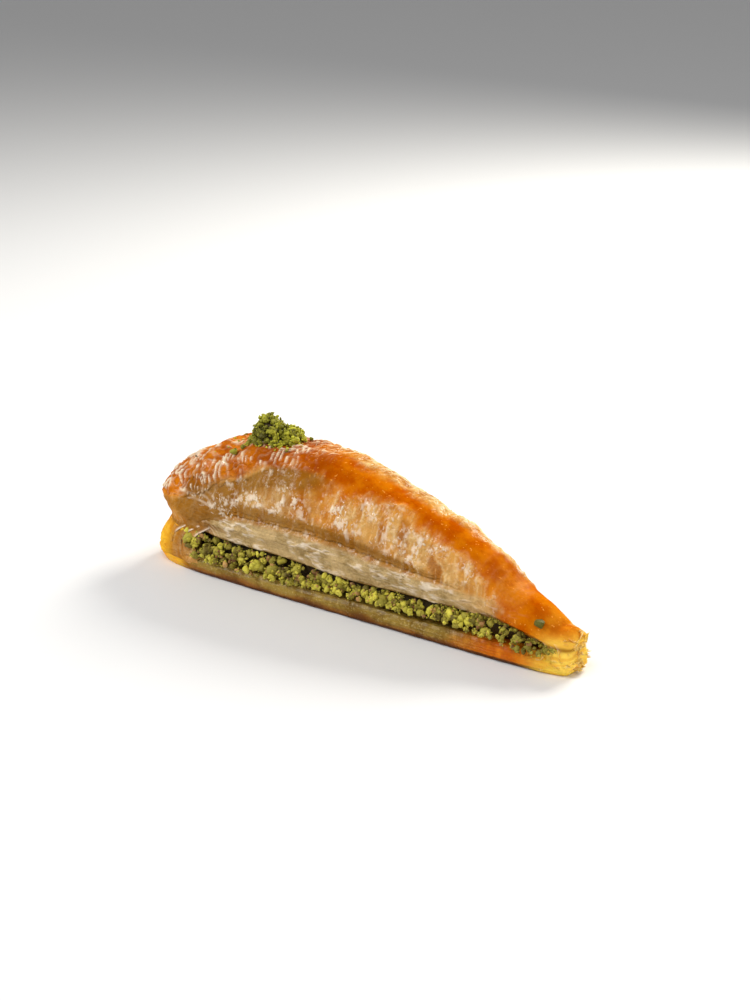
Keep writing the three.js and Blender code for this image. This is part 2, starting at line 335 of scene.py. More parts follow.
def spine_x(x):
    """The spine's place for an outline place: the same share of a shorter line."""
    return SPINE_START + (SPINE_END - SPINE_START) * (x + HALF) / LENGTH


around_it = wedge_outline(np.linspace(0, 1, 2001), UPPER_START, UPPER_END, 0)
OUTLINE_ROUND = 390  # mm, a little more than the way round, for patterns that follow it
print("round the outline, in mm:", np.hypot(*np.diff(around_it)).sum().round(1))

# %% Heights
WIDE_FALL = 18.4  # how far the crest falls to the wide end
TIP_FALL = 36.2  # how far it falls to the tip
NECK_FALL = 7.5  # how far it drops again at the neck, onto the nose
NOSE = 19.2  # the nose's height near the tip
FOLD = 23.5  # the height of the outer sheets' ends


def crest_height(x):
    """The crest rises from the wide end, falls along a power curve, and drops onto a nose.

    The body and the nose join as (body^8 + nose^8)^(1/8). Three soft shoulders lie on them."""
    before = np.maximum(0, (CREST_X - x) / (CREST_X + HALF))
    after = np.maximum(0, (x - CREST_X) / (HALF - CREST_X))
    body = CREST - WIDE_FALL * before**1.5 - TIP_FALL * after**2.55 - NECK_FALL * ramp(x, 47.5, 14)
    nose = NOSE - 8.0 * np.maximum(0, (x - 65) / 11) ** 2
    shoulder = 1.8 * bump(x, -11, 10) + 0.9 * bump(x, 58, 7)
    shoulder = shoulder + 3.0 * bump(x, -60.5, 5)
    return (np.maximum(0, body) ** 8 + nose**8) ** (1 / 8) + shoulder


def lip_height(x):
    """The upper stack's lower edge: up to the seam at the wide end, sagging over the nuts in the
    middle, and down to the tip's seam."""
    wide = (SEAM + GAP - LIP) * ramp(-x, 60, 8) + 0.9 * bump(x, -60, 6)
    sag = 1.2 * ramp(x, -32, 30) * (1 - ramp(x, 46, 20)) + 0.5 * bump(x, 4, 10)
    sag = sag + 0.8 * bump(x, 59, 7)
    return LIP + wide - sag - (LIP - TIP_SEAM) * ramp(x, 52, 22)


def slab_height(x):
    """The lower stack's top: level under the nuts, and up to the seam at both ends."""
    wide = (SEAM - SLAB) * ramp(-x, 60, 8)
    return SLAB + wide + (TIP_SEAM - GAP - SLAB) * ramp(x, 72.5, 5)


def fold_height(x):
    """Where the outer sheets end, above the pale band of the inner ones."""
    return FOLD - 2 * ramp(-x, 38, 20) - 4.5 * np.clip((x + 10) / 50, 0, 1)


def crust_edge(x):
    """The lower edge of the browned top sheets: high on the sides, low round the wide end."""
    return 22 + 20 * ramp(x, -HALF + 2, 58)


def pinch(x):
    """How far both stacks draw in at the wide end's seam."""
    return 2.2 * ramp(-x, 70, 8)


print("crest at the wide end, the top and the tip:", crest_height(np.array([-63, -40, 75])).round(1))

# %% [markdown]
# ## The upper stack
#
# Dozens of buttered sheets, each thinner than paper, puff up into one rounded body. Carving every
# sheet would take millions of faces, and a plain bump map would leave the outline smooth. So the
# body is one dense grid: a superellipse carried over the outline, pushed in and out along its own
# normal by soft puffs, by the steps where sheets end, and by creases of several sizes.

# %% The dome
CREST_PLACES = [-30, -22, -8, 4, 36, 46, 54, 64]
# Shares of the half width that are dark, in front of the crest and behind it.
CREST_SIDES = [0.3, 0.72, 0.72, 0.56, 0.56, 0.76, 0.93, 1.35]
CREST_BACKS = [-0.1, -0.28, -0.16, -0.08, -0.02, 0.08, 0.3, 1.35]
RELIEF_MEAN = 0.85  # brings the wrinkled surface back to the dome's size
SHOULDER_FALL = 2.6  # how far past the spine the crest goes on falling at the wide end


def dome_shares(count):
    """Angles of the section spaced evenly along a superellipse 20 wide and 30 high."""
    angle = np.linspace(0, np.pi / 2, 4001)
    out = 20 * np.maximum(0, np.cos(angle)) ** (2 / DOME_POWER)
    up = 30 * np.sin(angle) ** (2 / DOME_POWER)
    walked = np.r_[0, np.cumsum(np.hypot(np.diff(out), np.diff(up)))]
    return np.interp(np.linspace(0, walked[-1], count), walked, angle)


def crest_over(x):
    """The crest's height over a place. It is kept past the tip's end of the spine, and falls a
    little further past the wide end's."""
    return crest_height(np.clip(x, spine_x(UPPER_START) - SHOULDER_FALL, spine_x(UPPER_END)))


def dome(turn, angle):
    """A point of the smooth dome and its outward normal.

    From the lip at angle 0 to the spine at 90 degrees, the distance from the spine follows
    cos(angle)^(2/p) and the height sin(angle)^(2/p)."""
    ox, oy = wedge_outline(turn, UPPER_START, UPPER_END, 0)
    sx = spine_x(ox)
    c, s = np.maximum(0, np.cos(angle)), np.sin(angle)
    out, up = c ** (2 / DOME_POWER), s ** (2 / DOME_POWER)
    lip = lip_height(ox)
    z = lip + (crest_over(sx + (ox - sx) * out) - lip) * up
    point = np.stack([sx + (ox - sx) * out, oy * out, z], -1)
    level = unit(np.stack([ox - sx, oy, 0 * ox], -1))
    normal = level * (out ** (DOME_POWER - 1))[..., None]
    normal[..., 2] += up ** (DOME_POWER - 1)
    return point, unit(normal), level, ox


top_point = dome(np.array([0.25]), np.array([np.pi / 2]))[0]
print("the dome's top above the middle of a cut side, in mm:", top_point.round(1))


# %% Places and zones
def around(p):
    """How far along the slice a point lies, in mm. Past the spine's end it runs on round the end."""
    x, y = p[..., 0], p[..., 1]
    beyond = np.minimum(0, x - SPINE_START)
    return np.maximum(x, SPINE_START) - 20 * np.arctan2(-beyond, np.abs(y) + 0.01)


def puffs(p):
    """Soft swellings, 10 to 25 mm long, from three crossing sine waves."""
    x, y, z = np.moveaxis(p, -1, 0)
    long = np.sin(x / 4.1 + 1.3 * np.sin(z / 6.5) + y / 9)
    slanted = np.sin(x / 2.7 - z / 5.2 + 2.1)
    level = np.sin(z / 2.9 + 1.7 * np.sin(x / 7.3 + y / 12))
    return 0.34 * long + 0.22 * slanted + 0.26 * level


def zones(p):
    """Where each point of the smooth dome lies, as shares from 0 to 1 for relief and colour."""
    x, y, z = np.moveaxis(p, -1, 0)
    wobble = noise(p, (9, 9, 9), 21)
    wide = y / half_width(x)
    past_front = -wide - np.interp(x, CREST_PLACES, CREST_SIDES)
    past_back = wide - np.interp(x, CREST_PLACES, CREST_BACKS)
    past = np.maximum(past_front, past_back) + 0.13 * wobble + 0.1 * noise(p, (2.5, 2.5, 2.5), 22)
    paler_neck = 0.14 * ramp(x, 44, 10) * (1 - ramp(x, 58, 6))
    band_run = ramp(x, -62, 12) * (1 - ramp(x, 34, 34))
    return {
        "crust": ramp(z + 1.6 * wobble, crust_edge(x) - 1, 3.4) * (1 - ramp(x + 6 * wobble, -28, 22)),
        "band": ramp(fold_height(x) + 0.4 * wobble - z, -0.3, 2.2) * band_run,
        "crest": (1 - ramp(past, -0.1, 0.3)) * ramp(x, -34, 10) * (1 - paler_neck),
        "gold": np.maximum(
            (1 - ramp(past, 0.0, 0.34)) * ramp(x, -30, 16),
            ramp(-x + 2 * wobble, 56, 14) * (1 - ramp(z, 24, 8)),
        ),
        "ends": np.maximum(
            ramp(-x + 2 * wobble, 67, 9) * (1 - ramp(z, 10, 8)),
            ramp(x + 3 * wobble, 66, 10) * (1 - 0.85 * ramp(z + 1.2 * wobble, 8, 7)),
        ),
    }


before_crest = np.array([[x, -8, crest_height(x)] for x in (-60.0, -20.0, 20.0, 70.0)])
print("browned in front of the crest:", zones(before_crest)["crest"].round(2))


# %% Creases
def nested_arcs(p):
    """Over the first nuts the inner sheets end in nested arcs, 1.7 mm apart, from 0 to 1."""
    x, _, z = np.moveaxis(p, -1, 0)
    radius = np.hypot(x + 60, z - 12) + 0.5 * noise(p, (4, 4, 4), 26)
    arcs = (0.5 + 0.5 * np.cos(2 * np.pi * radius / 1.7)) ** 3
    arcs = arcs * ramp(radius, 5.5, 1.5) * (1 - ramp(radius, 12, 8)) * ramp(z, 13.4, 1.2)
    return arcs * (1 - ramp(x, -56, 8)) * ramp(noise(p, (3.5, 3.5, 3.5), 27), -0.6, 0.9)


def creased(p, zone):
    """Thin ridges of crumpled sheets from 0 to 1: across the crest, down the face, along the band."""
    x, y, z = np.moveaxis(p, -1, 0)
    # Across the crest and the wide end run slanting waves, broken up, with thin folds between.
    walked = around(p)
    walked = walked - 0.65 * ramp(x, -82, 20) * (np.abs(y) - 18)
    slant = walked + 2.6 * noise(p, (6, 8, 7), 3)
    comb = (0.5 + 0.5 * np.sin(2 * np.pi * slant / 2.1 + 2.8 * noise(p, (4, 4, 3.4), 4))) ** 3
    broken = ramp(noise(p, (2.3, 2.3, 2.2), 19), -0.12, 0.45) * ramp(np.abs(y), 0.5, 3)
    across = comb * ramp(noise(p, (7, 7, 7), 5), -0.75, 0.5) * broken
    level = np.stack([walked, y, z], -1)
    thin = creases(level, (1.6, 4, 4), 10) * ramp(noise(p, (2.4, 2.4, 2), 20), -0.2, 0.6)
    across = np.maximum(across, thin) * ramp(np.hypot(x - SPINE_START, y), 3, 9)
    across = np.maximum(across, 0.5 * creases(p, (2.2, 2.2, 3), 25) ** 2)
    # Down the face run pleats, coarse folds and fine ones.
    pleat = (0.5 + 0.5 * np.sin(2 * np.pi * (x + 1.2 * noise(p, (5, 9, 9), 13)) / 3.3)) ** 3
    pleat = pleat * ramp(noise(p, (5, 5, 4.5), 14), -0.25, 0.7)
    down = np.maximum(0.9 * creases(p, (3.0, 9, 8), 6), 0.8 * creases(p, (2.0, 5, 4), 7))
    down = np.maximum(pleat, down**1.6)
    # Along the pale band lie level folds of three sizes.
    along = np.maximum(0.6 * creases(p, (7, 7, 1.5), 8), 0.6 * creases(p, (2.2, 2.2, 1.3), 9))
    along = np.maximum(along, 0.5 * creases(p, (1.3, 1.3, 0.9), 15))
    face = (1 - zone["crust"]) * (1 - zone["band"])
    down = np.maximum(down * face, 0.8 * nested_arcs(p))
    return across * zone["crust"], down, along * zone["band"]


on_face = np.linspace([-50.0, -20.0, 28.0], [30.0, -16.0, 24.0], 400)
print("ridges down the face, on average:", creased(on_face, zones(on_face))[1].mean().round(2))


# %% Fold shadow and highlights
def fold_shadow(x, z):
    """The soft shadow over the fold, from 0 to 1. It is widest at the wide end and runs out."""
    width = 2.2 - 1.2 * ramp(x, -10, 50)
    over = bump(z - fold_height(x), 0.85 * width, width)
    return over * ramp(x, -56, 16) * (1 - ramp(x, 14, 34))


def glints(p, zone):
    """Where small blisters catch the window: clusters on the face, level patches on the band."""
    x, y, z = np.moveaxis(p, -1, 0)
    # They stay off the browned zones, the fold's shadow, the back and the place under the crust.
    face = (1 - zone["crust"]) * (1 - zone["band"]) * (1 - zone["crest"]) ** 1.5 * (1 - zone["ends"])
    face = face * (1 - 0.9 * fold_shadow(x, z)) * (1 - 0.35 * ramp(x, -8, 14) + 0.15 * ramp(x, 16, 12))
    face = face * (1 - 0.7 * ramp(y, -6, 6) * ramp(z - fold_height(x), 4, 6))
    face = face * (1 - 0.75 * bump(crust_edge(x) - z, 3, 3.5) * (1 - ramp(x, -24, 20)))
    # They crowd at three places: near the wide end, in the middle and over the nested arcs.
    near_wide_end = bump(x, -42, 7) * ramp(-z, -36, 5)
    near_middle = bump(x, -13, 6)
    near_arcs = 0.55 * bump(x, -55, 6) * ramp(z, 22, 4)
    face = face * (1 - near_arcs) + near_arcs * (1 - zone["crust"]) * (1 - zone["band"])
    cluster = noise(p, (7, 12, 6), 18) + 1.1 * near_wide_end + 0.4 * near_middle + near_arcs
    upright = ramp(noise(p, (2.2, 4, 3.2), 17) + 0.4 * near_wide_end, -0.45, 0.6)
    upright = upright * ramp(cluster, -0.6, 0.8)
    patchy = noise(p, (8, 8, 3.5), 24) + 1.2 * near_wide_end + 0.8 * near_middle
    level = ramp(noise(p, (3, 3, 1.6), 23), -0.35, 0.6) * ramp(patchy, -0.5, 0.9)
    return upright * face, level * zone["band"] * (1 - zone["ends"])


print("highlights on the face, on average:", glints(on_face, zones(on_face))[0].mean().round(2))


# %% Relief
def pale_film_and_sheen(p):
    """Where one more thin, pale sheet lies over the darker ones, from 0 to 1. Its pale colour is also
    a painted sheen, in broad patches.
    """
    return ramp(noise(p, (3.6, 8, 12), 11), -0.5, 0.8)


def upper_relief(p, angle):
    """How far the surface stands out from the dome, in mm: puffs, steps, grooves and creases."""
    x, _, z = np.moveaxis(p, -1, 0)
    zone = zones(p)
    across, down, along = creased(p, zone)
    settled = ramp(angle, 0, 0.19)
    calm = 1 - 0.75 * zone["crest"]
    # A groove runs above the fold, and another under the crust's edge.
    groove = bump(z - fold_height(x), 1.2, 1.1) * ramp(x, -56, 16)
    under = bump(z - crust_edge(x), -1.4, 1.3) * (1 - ramp(x, -26, 14))
    fine = creases(p, (1.3, 1.6, 1.6), 12) * (1 - 0.8 * zone["crest"])
    ridges = 0.75 * across + 0.55 * down * calm * (0.45 + 0.55 * pale_film_and_sheen(p)) + 0.34 * along + 0.2 * fine
    steps = 0.7 * zone["crust"] + 0.8 * zone["band"] + 0.3 * sum(glints(p, zone))
    return (
        (puffs(p) * (1 - 0.5 * zone["crest"]) + ridges) * settled
        + steps
        - 0.6 * groove * (1 - ramp(x, 22, 26))
        - 0.25 * under
        - RELIEF_MEAN
    )


def upper_surface(turn, angle):
    """The finished outside of the upper stack, with its normal and the smooth dome's point."""
    p, normal, level, ox = dome(turn, angle)
    share = angle / (np.pi / 2)
    inward = 1.5 * (1 - ramp(share, 0, 0.06)) + pinch(ox) * (1 - ramp(share, 0, 0.2))
    moved = p + normal * upper_relief(p, angle)[..., None] - level * inward[..., None]
    return moved, normal, p


face_relief = upper_relief(on_face, 1.0)
print("relief along the face, in mm:", face_relief.min().round(2), "to", face_relief.max().round(2))

# %% The upper stack's outside
UPPER_COUNT = 850
UPPER_ROWS = 113
turns = np.arange(UPPER_COUNT) / UPPER_COUNT
angles = dome_shares(UPPER_ROWS)
outside, outside_normal, smooth_points = upper_surface(turns[None, :], angles[:, None])
print("outside of the upper stack:", outside.shape[0], "rows of", outside.shape[1], "points")


# %% The upper stack's mesh
def toward_spine(turn, depth, height, deepest=1.0, start=UPPER_START, end=UPPER_END, out=0.0):
    """Points a given depth inside the outline, on the lines to the spine."""
    ox, oy = wedge_outline(turn, start, end, out)
    sx = spine_x(ox)
    share = 1 - np.minimum(depth / np.hypot(ox - sx, oy), deepest)
    return np.stack([sx + (ox - sx) * share, oy * share, height(ox) + 0 * ox], -1)


# Three rings close the dome underneath, from the spine out to the lip.
under_rings = np.stack(
    [
        toward_spine(turns, LENGTH, lambda x: lip_height(x) + 0.2),
        toward_spine(turns, 9, lambda x: lip_height(x) + 0.2, 0.5),
        toward_spine(turns, 4.5, lambda x: lip_height(x) + 0.5, 0.3),
    ]
)
upper_points = np.concatenate([under_rings, outside])
upper_rings = len(upper_points)
upper_faces = weld_mirrored(skin_faces(upper_rings, UPPER_COUNT), upper_rings, UPPER_COUNT)
upper, used = new_piece("upper_stack", upper_points.reshape(-1, 3), upper_faces)
print("upper stack:", triangles(upper), "triangles")


# %% Shadows and scorched patches
def shaded(p):
    """Where little light gets in, from 0 to 1: over the fold, under the crust's edge, along the
    lip, low on the wide end and at the tip's seam."""
    x, y, z = np.moveaxis(p, -1, 0)
    below_crust = crust_edge(x) - z
    under = 1.2 * bump(below_crust, 2.0, 3) + 0.6 * bump(below_crust, 0, 12)
    under = under * (1 - ramp(x, -24, 20)) * (1 - 0.6 * ramp(-x, 64, 8))
    left_face = ramp(-x, 44, 8) * (1 - ramp(-x, 64, 6))
    cut_side = ramp(np.abs(y) / half_width(x), 0.86, 0.1)
    shade = 1.5 * fold_shadow(x, z)
    shade = shade + under * ramp(below_crust, -1, 2)
    shade = shade + 0.8 * bump(z - lip_height(x), 0, 0.7)
    shade = shade + 0.1 * ramp(-x, 66, 10) * ramp(z, 14, 6)
    shade = shade + 1.4 * left_face * bump(z, 25, 7.5)
    shade = shade + 0.6 * cut_side * ramp(-x, 60, 6) * (1 - ramp(z, 12, 6))
    shade = shade + 0.45 * bump(z - TIP_SEAM, 0.4, 0.6) * ramp(x, 70, 4)
    return np.clip(shade, 0, 1)


def scorched(p, zone):
    """Where the crest baked darkest, and darker over the crust's middle, from 0 to 1, in patches of
    about 7 mm.
    """
    x = p[..., 0]
    burnt = bump(x, -20, 12) * zone["crest"] + 0.75 * bump(x, -36, 12) * zone["crust"]
    return np.clip(burnt * ramp(noise(p, (7, 7, 5), 16), -0.9, 1.1), 0, 1)


print("shaded along the face, on average:", shaded(on_face).mean().round(2))


# %% Shares for the pastry's colours
def paint(piece, used, points, **fixed):
    """Stores the shares that the pastry's material mixes its colours by. Some can be fixed."""
    x, y, z = np.moveaxis(points, -1, 0)
    zone = zones(points)
    across, down, along = creased(points, zone)
    matte = 1 - 0.9 * zone["ends"]
    values = {**zone, "ridge": np.maximum(np.maximum(across, down), along) * matte}
    # Painted highlights: glints on the face, and band glints on the pale band.
    values["glint"], values["band_glint"] = glints(points, zone)
    # Painted highlights: strokes where the window catches the crust's creases, halved on the back,
    # which faces away from it. The nested arcs add the pale edges of sheets.
    highlight_and_pale_edge = np.minimum(1, (1.3 + 1.5 * ramp(-x, 48, 12)) * across**2.6)
    highlight_and_pale_edge = np.maximum(highlight_and_pale_edge, 0.6 * nested_arcs(points) * (1 - zone["crust"]))
    values["highlight_and_pale_edge"] = highlight_and_pale_edge * matte * (1 - 0.5 * ramp(y, -3, 8))
    # Painted glow: the rim over the fold and the tip's ends, where the back light shines through, are
    # made paler.
    over_fold = ramp(x, -34, 10) * ramp(z - fold_height(x), 6, 6)
    values["backlit"] = np.maximum(over_fold, zone["ends"] * (x > 0))
    values["film_and_sheen"] = pale_film_and_sheen(points) * (1 - zone["crest"])
    values["shade"] = shaded(points)
    values["burnt"] = scorched(points, zone)
    values |= fixed
    store(piece, used, **{name: value + 0 * x for name, value in values.items()})


paint(upper, used, np.concatenate([under_rings, smooth_points]).reshape(-1, 3))
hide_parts("upper_pastry")
print("shares:", [layer.name for layer in upper.data.attributes if layer.data_type == "FLOAT"])

# %% [markdown]
# ## The lower stack
#
# The bottom sheets lie flat and drink most of the syrup, so they are dense and amber, with a dark
# foot where they fried against the tray. Their cut side is nearly flat. The same outline is used
# with a low section, and the single sheets only show as faint level lines.

# %% The lower stack's side
LOWER_COUNT = 760
LOWER_ROWS = 46
# Each row gives a depth inside the outline and the share of the rim's height that it is at.
LOWER_PROFILE = np.array([[0.9, 0.0], [0.2, 0.13], [0.0, 0.42], [0.25, 0.72], [1.4, 1.0]])


def lower_surface(turn, share):
    """The lower stack's side: a depth inside the outline for each share of the rim's height."""
    ox, oy = wedge_outline(turn, LOWER_START, LOWER_END, 1)
    sx = spine_x(ox)
    depth = np.interp(share, LOWER_PROFILE[:, 1], LOWER_PROFILE[:, 0])
    depth = depth + pinch(ox) * ramp(share, 0.4, 0.6)
    z = slab_height(ox) * share
    p = np.stack([ox + 0 * share, oy + 0 * share, z], -1)
    lines = creases(p, (16, 16, 0.9), 31)
    rough = 0.5 * noise(p, (7, 7, 5), 32) + 0.3 * noise(p, (2.2, 2.2, 1.4), 33)
    dents = creases(p, (2.4, 2.4, 4.5), 34)
    depth = depth - (0.22 * lines + 0.35 * rough + 0.2 * dents) * ramp(share, 0.02, 0.1) + 0.3
    inner = 1 - np.minimum(depth / np.hypot(ox - sx, oy), 0.5)
    return np.stack([sx + (ox - sx) * inner, oy * inner, z], -1)


middle_side = lower_surface(np.array([0.25]), np.array([0.5]))
print("the lower stack's side half way up, in mm:", middle_side.round(1))

# %% The lower stack
low_turns = np.arange(LOWER_COUNT) / LOWER_COUNT
low_shares = np.linspace(0, 1, LOWER_ROWS)
lower_shape = {"start": LOWER_START, "end": LOWER_END, "out": 1.0}
# The rings run from the middle underneath up the side, and back to the middle on top.
lower_points = np.concatenate(
    [
        toward_spine(low_turns, LENGTH, lambda x: 0 * x, **lower_shape)[None],
        lower_surface(low_turns[None, :], low_shares[:, None]),
        toward_spine(low_turns, 3.8, lambda x: slab_height(x) - 0.1, 0.4, **lower_shape)[None],
        toward_spine(low_turns, 9.5, lambda x: SLAB + 0 * x, 0.75, **lower_shape)[None],
        toward_spine(low_turns, LENGTH, lambda x: SLAB + 0 * x, **lower_shape)[None],
    ]
)
lower_rings = len(lower_points)
lower_faces = weld_mirrored(skin_faces(lower_rings, LOWER_COUNT), lower_rings, LOWER_COUNT)
lower, used = new_piece("lower_stack", lower_points.reshape(-1, 3), lower_faces)
lower_flat = lower_points.reshape(-1, 3)
lower_x, _, lower_z = lower_flat.T
foot_line = 1.1 + 0.5 * noise(lower_flat, (5, 5, 5), 35)
store(
    lower,
    used,
    foot=1 - ramp(lower_z - foot_line, -0.3, 0.8),
    amber=1 - ramp(lower_z + 0.8 * noise(lower_flat, (6, 6, 6), 36), 1.2, 2.2),
    ends=np.maximum(ramp(-lower_x, 60, 11), ramp(lower_x, 63, 12)),
    tipward=ramp(lower_x + 4 * noise(lower_flat, (6, 6, 3), 37), 34, 22),
)
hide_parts("lower_pastry")
print("lower stack:", triangles(lower), "triangles")

# %% [markdown]
# ## Thin sheets
#
# Where sheets end, their edges stand off the body: frayed, thinner than paper and lit through.
# A step in the body alone would look cast. Each edge is therefore a strip of its own. It follows
# the body, rises from it towards the frayed edge and sinks into it on the other three sides.


# %% Places on the upper stack
def height_to_angle(turn, z):
    """The section angle at which the smooth dome reaches a height, found in a few steps."""
    ox, _ = wedge_outline(turn, UPPER_START, UPPER_END, 0)
    sx, lip = spine_x(ox), lip_height(ox)
    top = crest_over(sx)
    for _ in range(4):
        angle = np.arcsin(np.clip((z - lip) / (top - lip), 0, 1) ** (DOME_POWER / 2))
        out = np.maximum(0, np.cos(angle)) ** (2 / DOME_POWER)
        top = crest_over(sx + (ox - sx) * out)
    return angle


def side_turns(x_from, x_to, count, side):
    """Turns along one cut side between two outline places: -1 is the front, 1 the back."""
    fine = np.linspace(0.0, 0.5, 4001)
    ox, _ = wedge_outline(fine, UPPER_START, UPPER_END, 0)
    found = np.interp(np.linspace(x_from, x_to, count), ox, fine)
    return found if side < 0 else (1 - found)[::-1]


def outline_x(turn):
    """Where along the slice the outline is at a turn."""
    return wedge_outline(turn, UPPER_START, UPPER_END, 0)[0]


print("turns from x -70 to 52 on the front:", side_turns(-70, 52, 2, -1).round(3))

# %% Torn edges
STRIP_FADE = 0.06  # turns over which a strip comes out of the body at its two ends


def unrolled(turn):
    """Points on a straight line, as far apart as the turns are round the outline, for noise."""
    return np.stack([turn * OUTLINE_ROUND, 0 * turn, 0 * turn], -1)


def frayed(turn, depth, seed):
    """An uneven torn line: coarse waves, notches and a fine fringe, about depth deep."""
    place = unrolled(turn)
    coarse = noise(place, (6, 6, 6), seed)
    notches = creases(place, (2.2, 2.2, 2.2), seed + 1)
    fringe = noise(place, (0.7, 0.7, 0.7), seed + 2)
    return depth * (0.5 * coarse + 0.55 * notches + 0.22 * fringe)


def strip(turn, low, high, rows, lift, fray, seed):
    """A sheet's edge zone on the upper stack: for each turn, the points from low up to high.

    The edge at low frays and stands off by lift. The strip comes down to the body with
    (1 - t)^1.5 on the way up, and sinks into it at high and at its two ends."""
    t = np.linspace(0, 1, rows)[:, None]
    edge = low + frayed(turn, fray, seed)
    angle = height_to_angle(turn, edge + (high - edge) * t)
    p, normal, smooth = upper_surface(turn[None, :] + 0 * t, angle)
    waves = 0.5 + 0.5 * noise(unrolled(turn), (4, 4, 4), seed + 3)
    ends = ramp(np.minimum(turn - turn[0], turn[-1] - turn), 0, STRIP_FADE)
    away = (lift * waves * (1 - t) ** 1.5 + 0.1) * ends - 0.35 * ramp(t, 0.7, 0.3) - 0.3 * (1 - ends)
    return p + normal * away[..., None], smooth


torn = frayed(np.linspace(0, 0.2, 400), 1, 61)
print("a torn line, in mm:", torn.min().round(2), "to", torn.max().round(2))


# %% Strips into one piece
def grid_faces(rows, columns, first=0):
    """Quads of an open grid whose points are numbered row by row."""
    a = (np.arange(rows - 1)[:, None] * columns + np.arange(columns - 1)[None, :]).ravel() + first
    return np.stack([a, a + 1, a + 1 + columns, a + columns], -1)


def strips_piece(name, grids, thickness, slot, **fixed):
    """Joins grids of points into one piece of thin sheet. Some of its colour shares can be fixed."""
    faces, points, places, first = [], [], [], 0
    for grid, smooth in grids:
        faces.append(grid_faces(*grid.shape[:2], first))
        points.append(grid.reshape(-1, 3))
        places.append(smooth.reshape(-1, 3))
        first += len(points[-1])
    piece, used = new_piece(name, np.concatenate(points), np.concatenate(faces))
    paint(piece, used, np.concatenate(places), **fixed)
    solid = piece.modifiers.new("thickness", "SOLIDIFY")
    solid.thickness = thickness * MM
    solid.offset = 0
    print(name + ":", 2 * triangles(piece), "triangles")
    return piece


print("a grid of 12 rows and 760 columns has", len(grid_faces(12, 760)), "quads")

# %% The crust's edges
# The crust goes round the wide end, from one cut side to the other.
CRUST_REACH = 0.185  # turns to each side of the wide end's middle
crust_turns = np.linspace(-CRUST_REACH, CRUST_REACH, 760)
crust = crust_edge(outline_x(crust_turns))
crust_strips = []
for rise, lift, seed in ((0.2, 0.12, 61), (2.4, 0.22, 71), (5.0, 0.25, 81)):
    edge = crust + rise
    crust_strips.append(strip(crust_turns, edge, edge + 4, rows=12, lift=lift, fray=2.6, seed=seed))
crust_strip = strips_piece("crust_edges", crust_strips, 0.11, "browned_sheets", band=0)

# %% The fold's edges
fold_strips = []
for side in (-1, 1):
    turns_here = side_turns(-70, 52, 620, side)
    fold = fold_height(outline_x(turns_here))
    for rise, lift, seed in ((0.3, 0.4, 91), (1.0, 0.25, 101)):
        edge = fold + rise
        sheet = dict(rows=9, lift=lift, fray=0.9, seed=seed + side)
        fold_strips.append(strip(turns_here, edge, edge + 3.5, **sheet))
fold_strip = strips_piece("fold_edges", fold_strips, 0.13, "browned_sheets", band=0)

# %% The pale band's edges
band_strips = []
for side in (-1, 1):
    turns_here = side_turns(-72, 62, 640, side)
    x_here = outline_x(turns_here)
    lip, fold = lip_height(x_here), fold_height(x_here)
    for share, lift, seed in ((0.0, 0.3, 111), (0.45, 0.1, 141)):
        edge = lip + 0.25 + (fold - lip) * share
        sheet = dict(rows=8, lift=lift, fray=0.7, seed=seed + side)
        band_strips.append(strip(turns_here, edge, edge + 2.6, **sheet))
band_strip = strips_piece("band_edges", band_strips, 0.1, "browned_sheets", shade=0)

# %% [markdown]
# ## The two ends
#
# At both ends the outer sheets of the two stacks were pressed together before baking, so they run
# over the seam without a gap and only draw in there. On the cut sides their ends show as nested
# curved edges round the first and last nuts. The strip takes the profile of both stacks, and
# averages it over a few millimetres of height, which bridges the seam.

# %% Average over the height
BRIDGE = 1.1  # mm of height over which the profile of both stacks is averaged
BRIDGE_ROWS = 12  # rows above and below that the average takes in


def bridged(p, step):
    """Rows of points, step mm apart, each averaged with its neighbours by exp(-(dz / w)^2 / 2)."""
    kernel = np.exp(-0.5 * ((np.arange(-BRIDGE_ROWS, BRIDGE_ROWS + 1) * step) / BRIDGE) ** 2)
    padded = np.pad(p, ((BRIDGE_ROWS, BRIDGE_ROWS), (0, 0), (0, 0)), mode="edge")
    return sum(k * padded[i : i + len(p)] for i, k in enumerate(kernel / kernel.sum()))


one_step = np.repeat([0.0, 1.0], 20)[:, None, None]
print("a step of 1 mm turns into:", bridged(one_step, 0.4)[15:25, 0, 0].round(2))


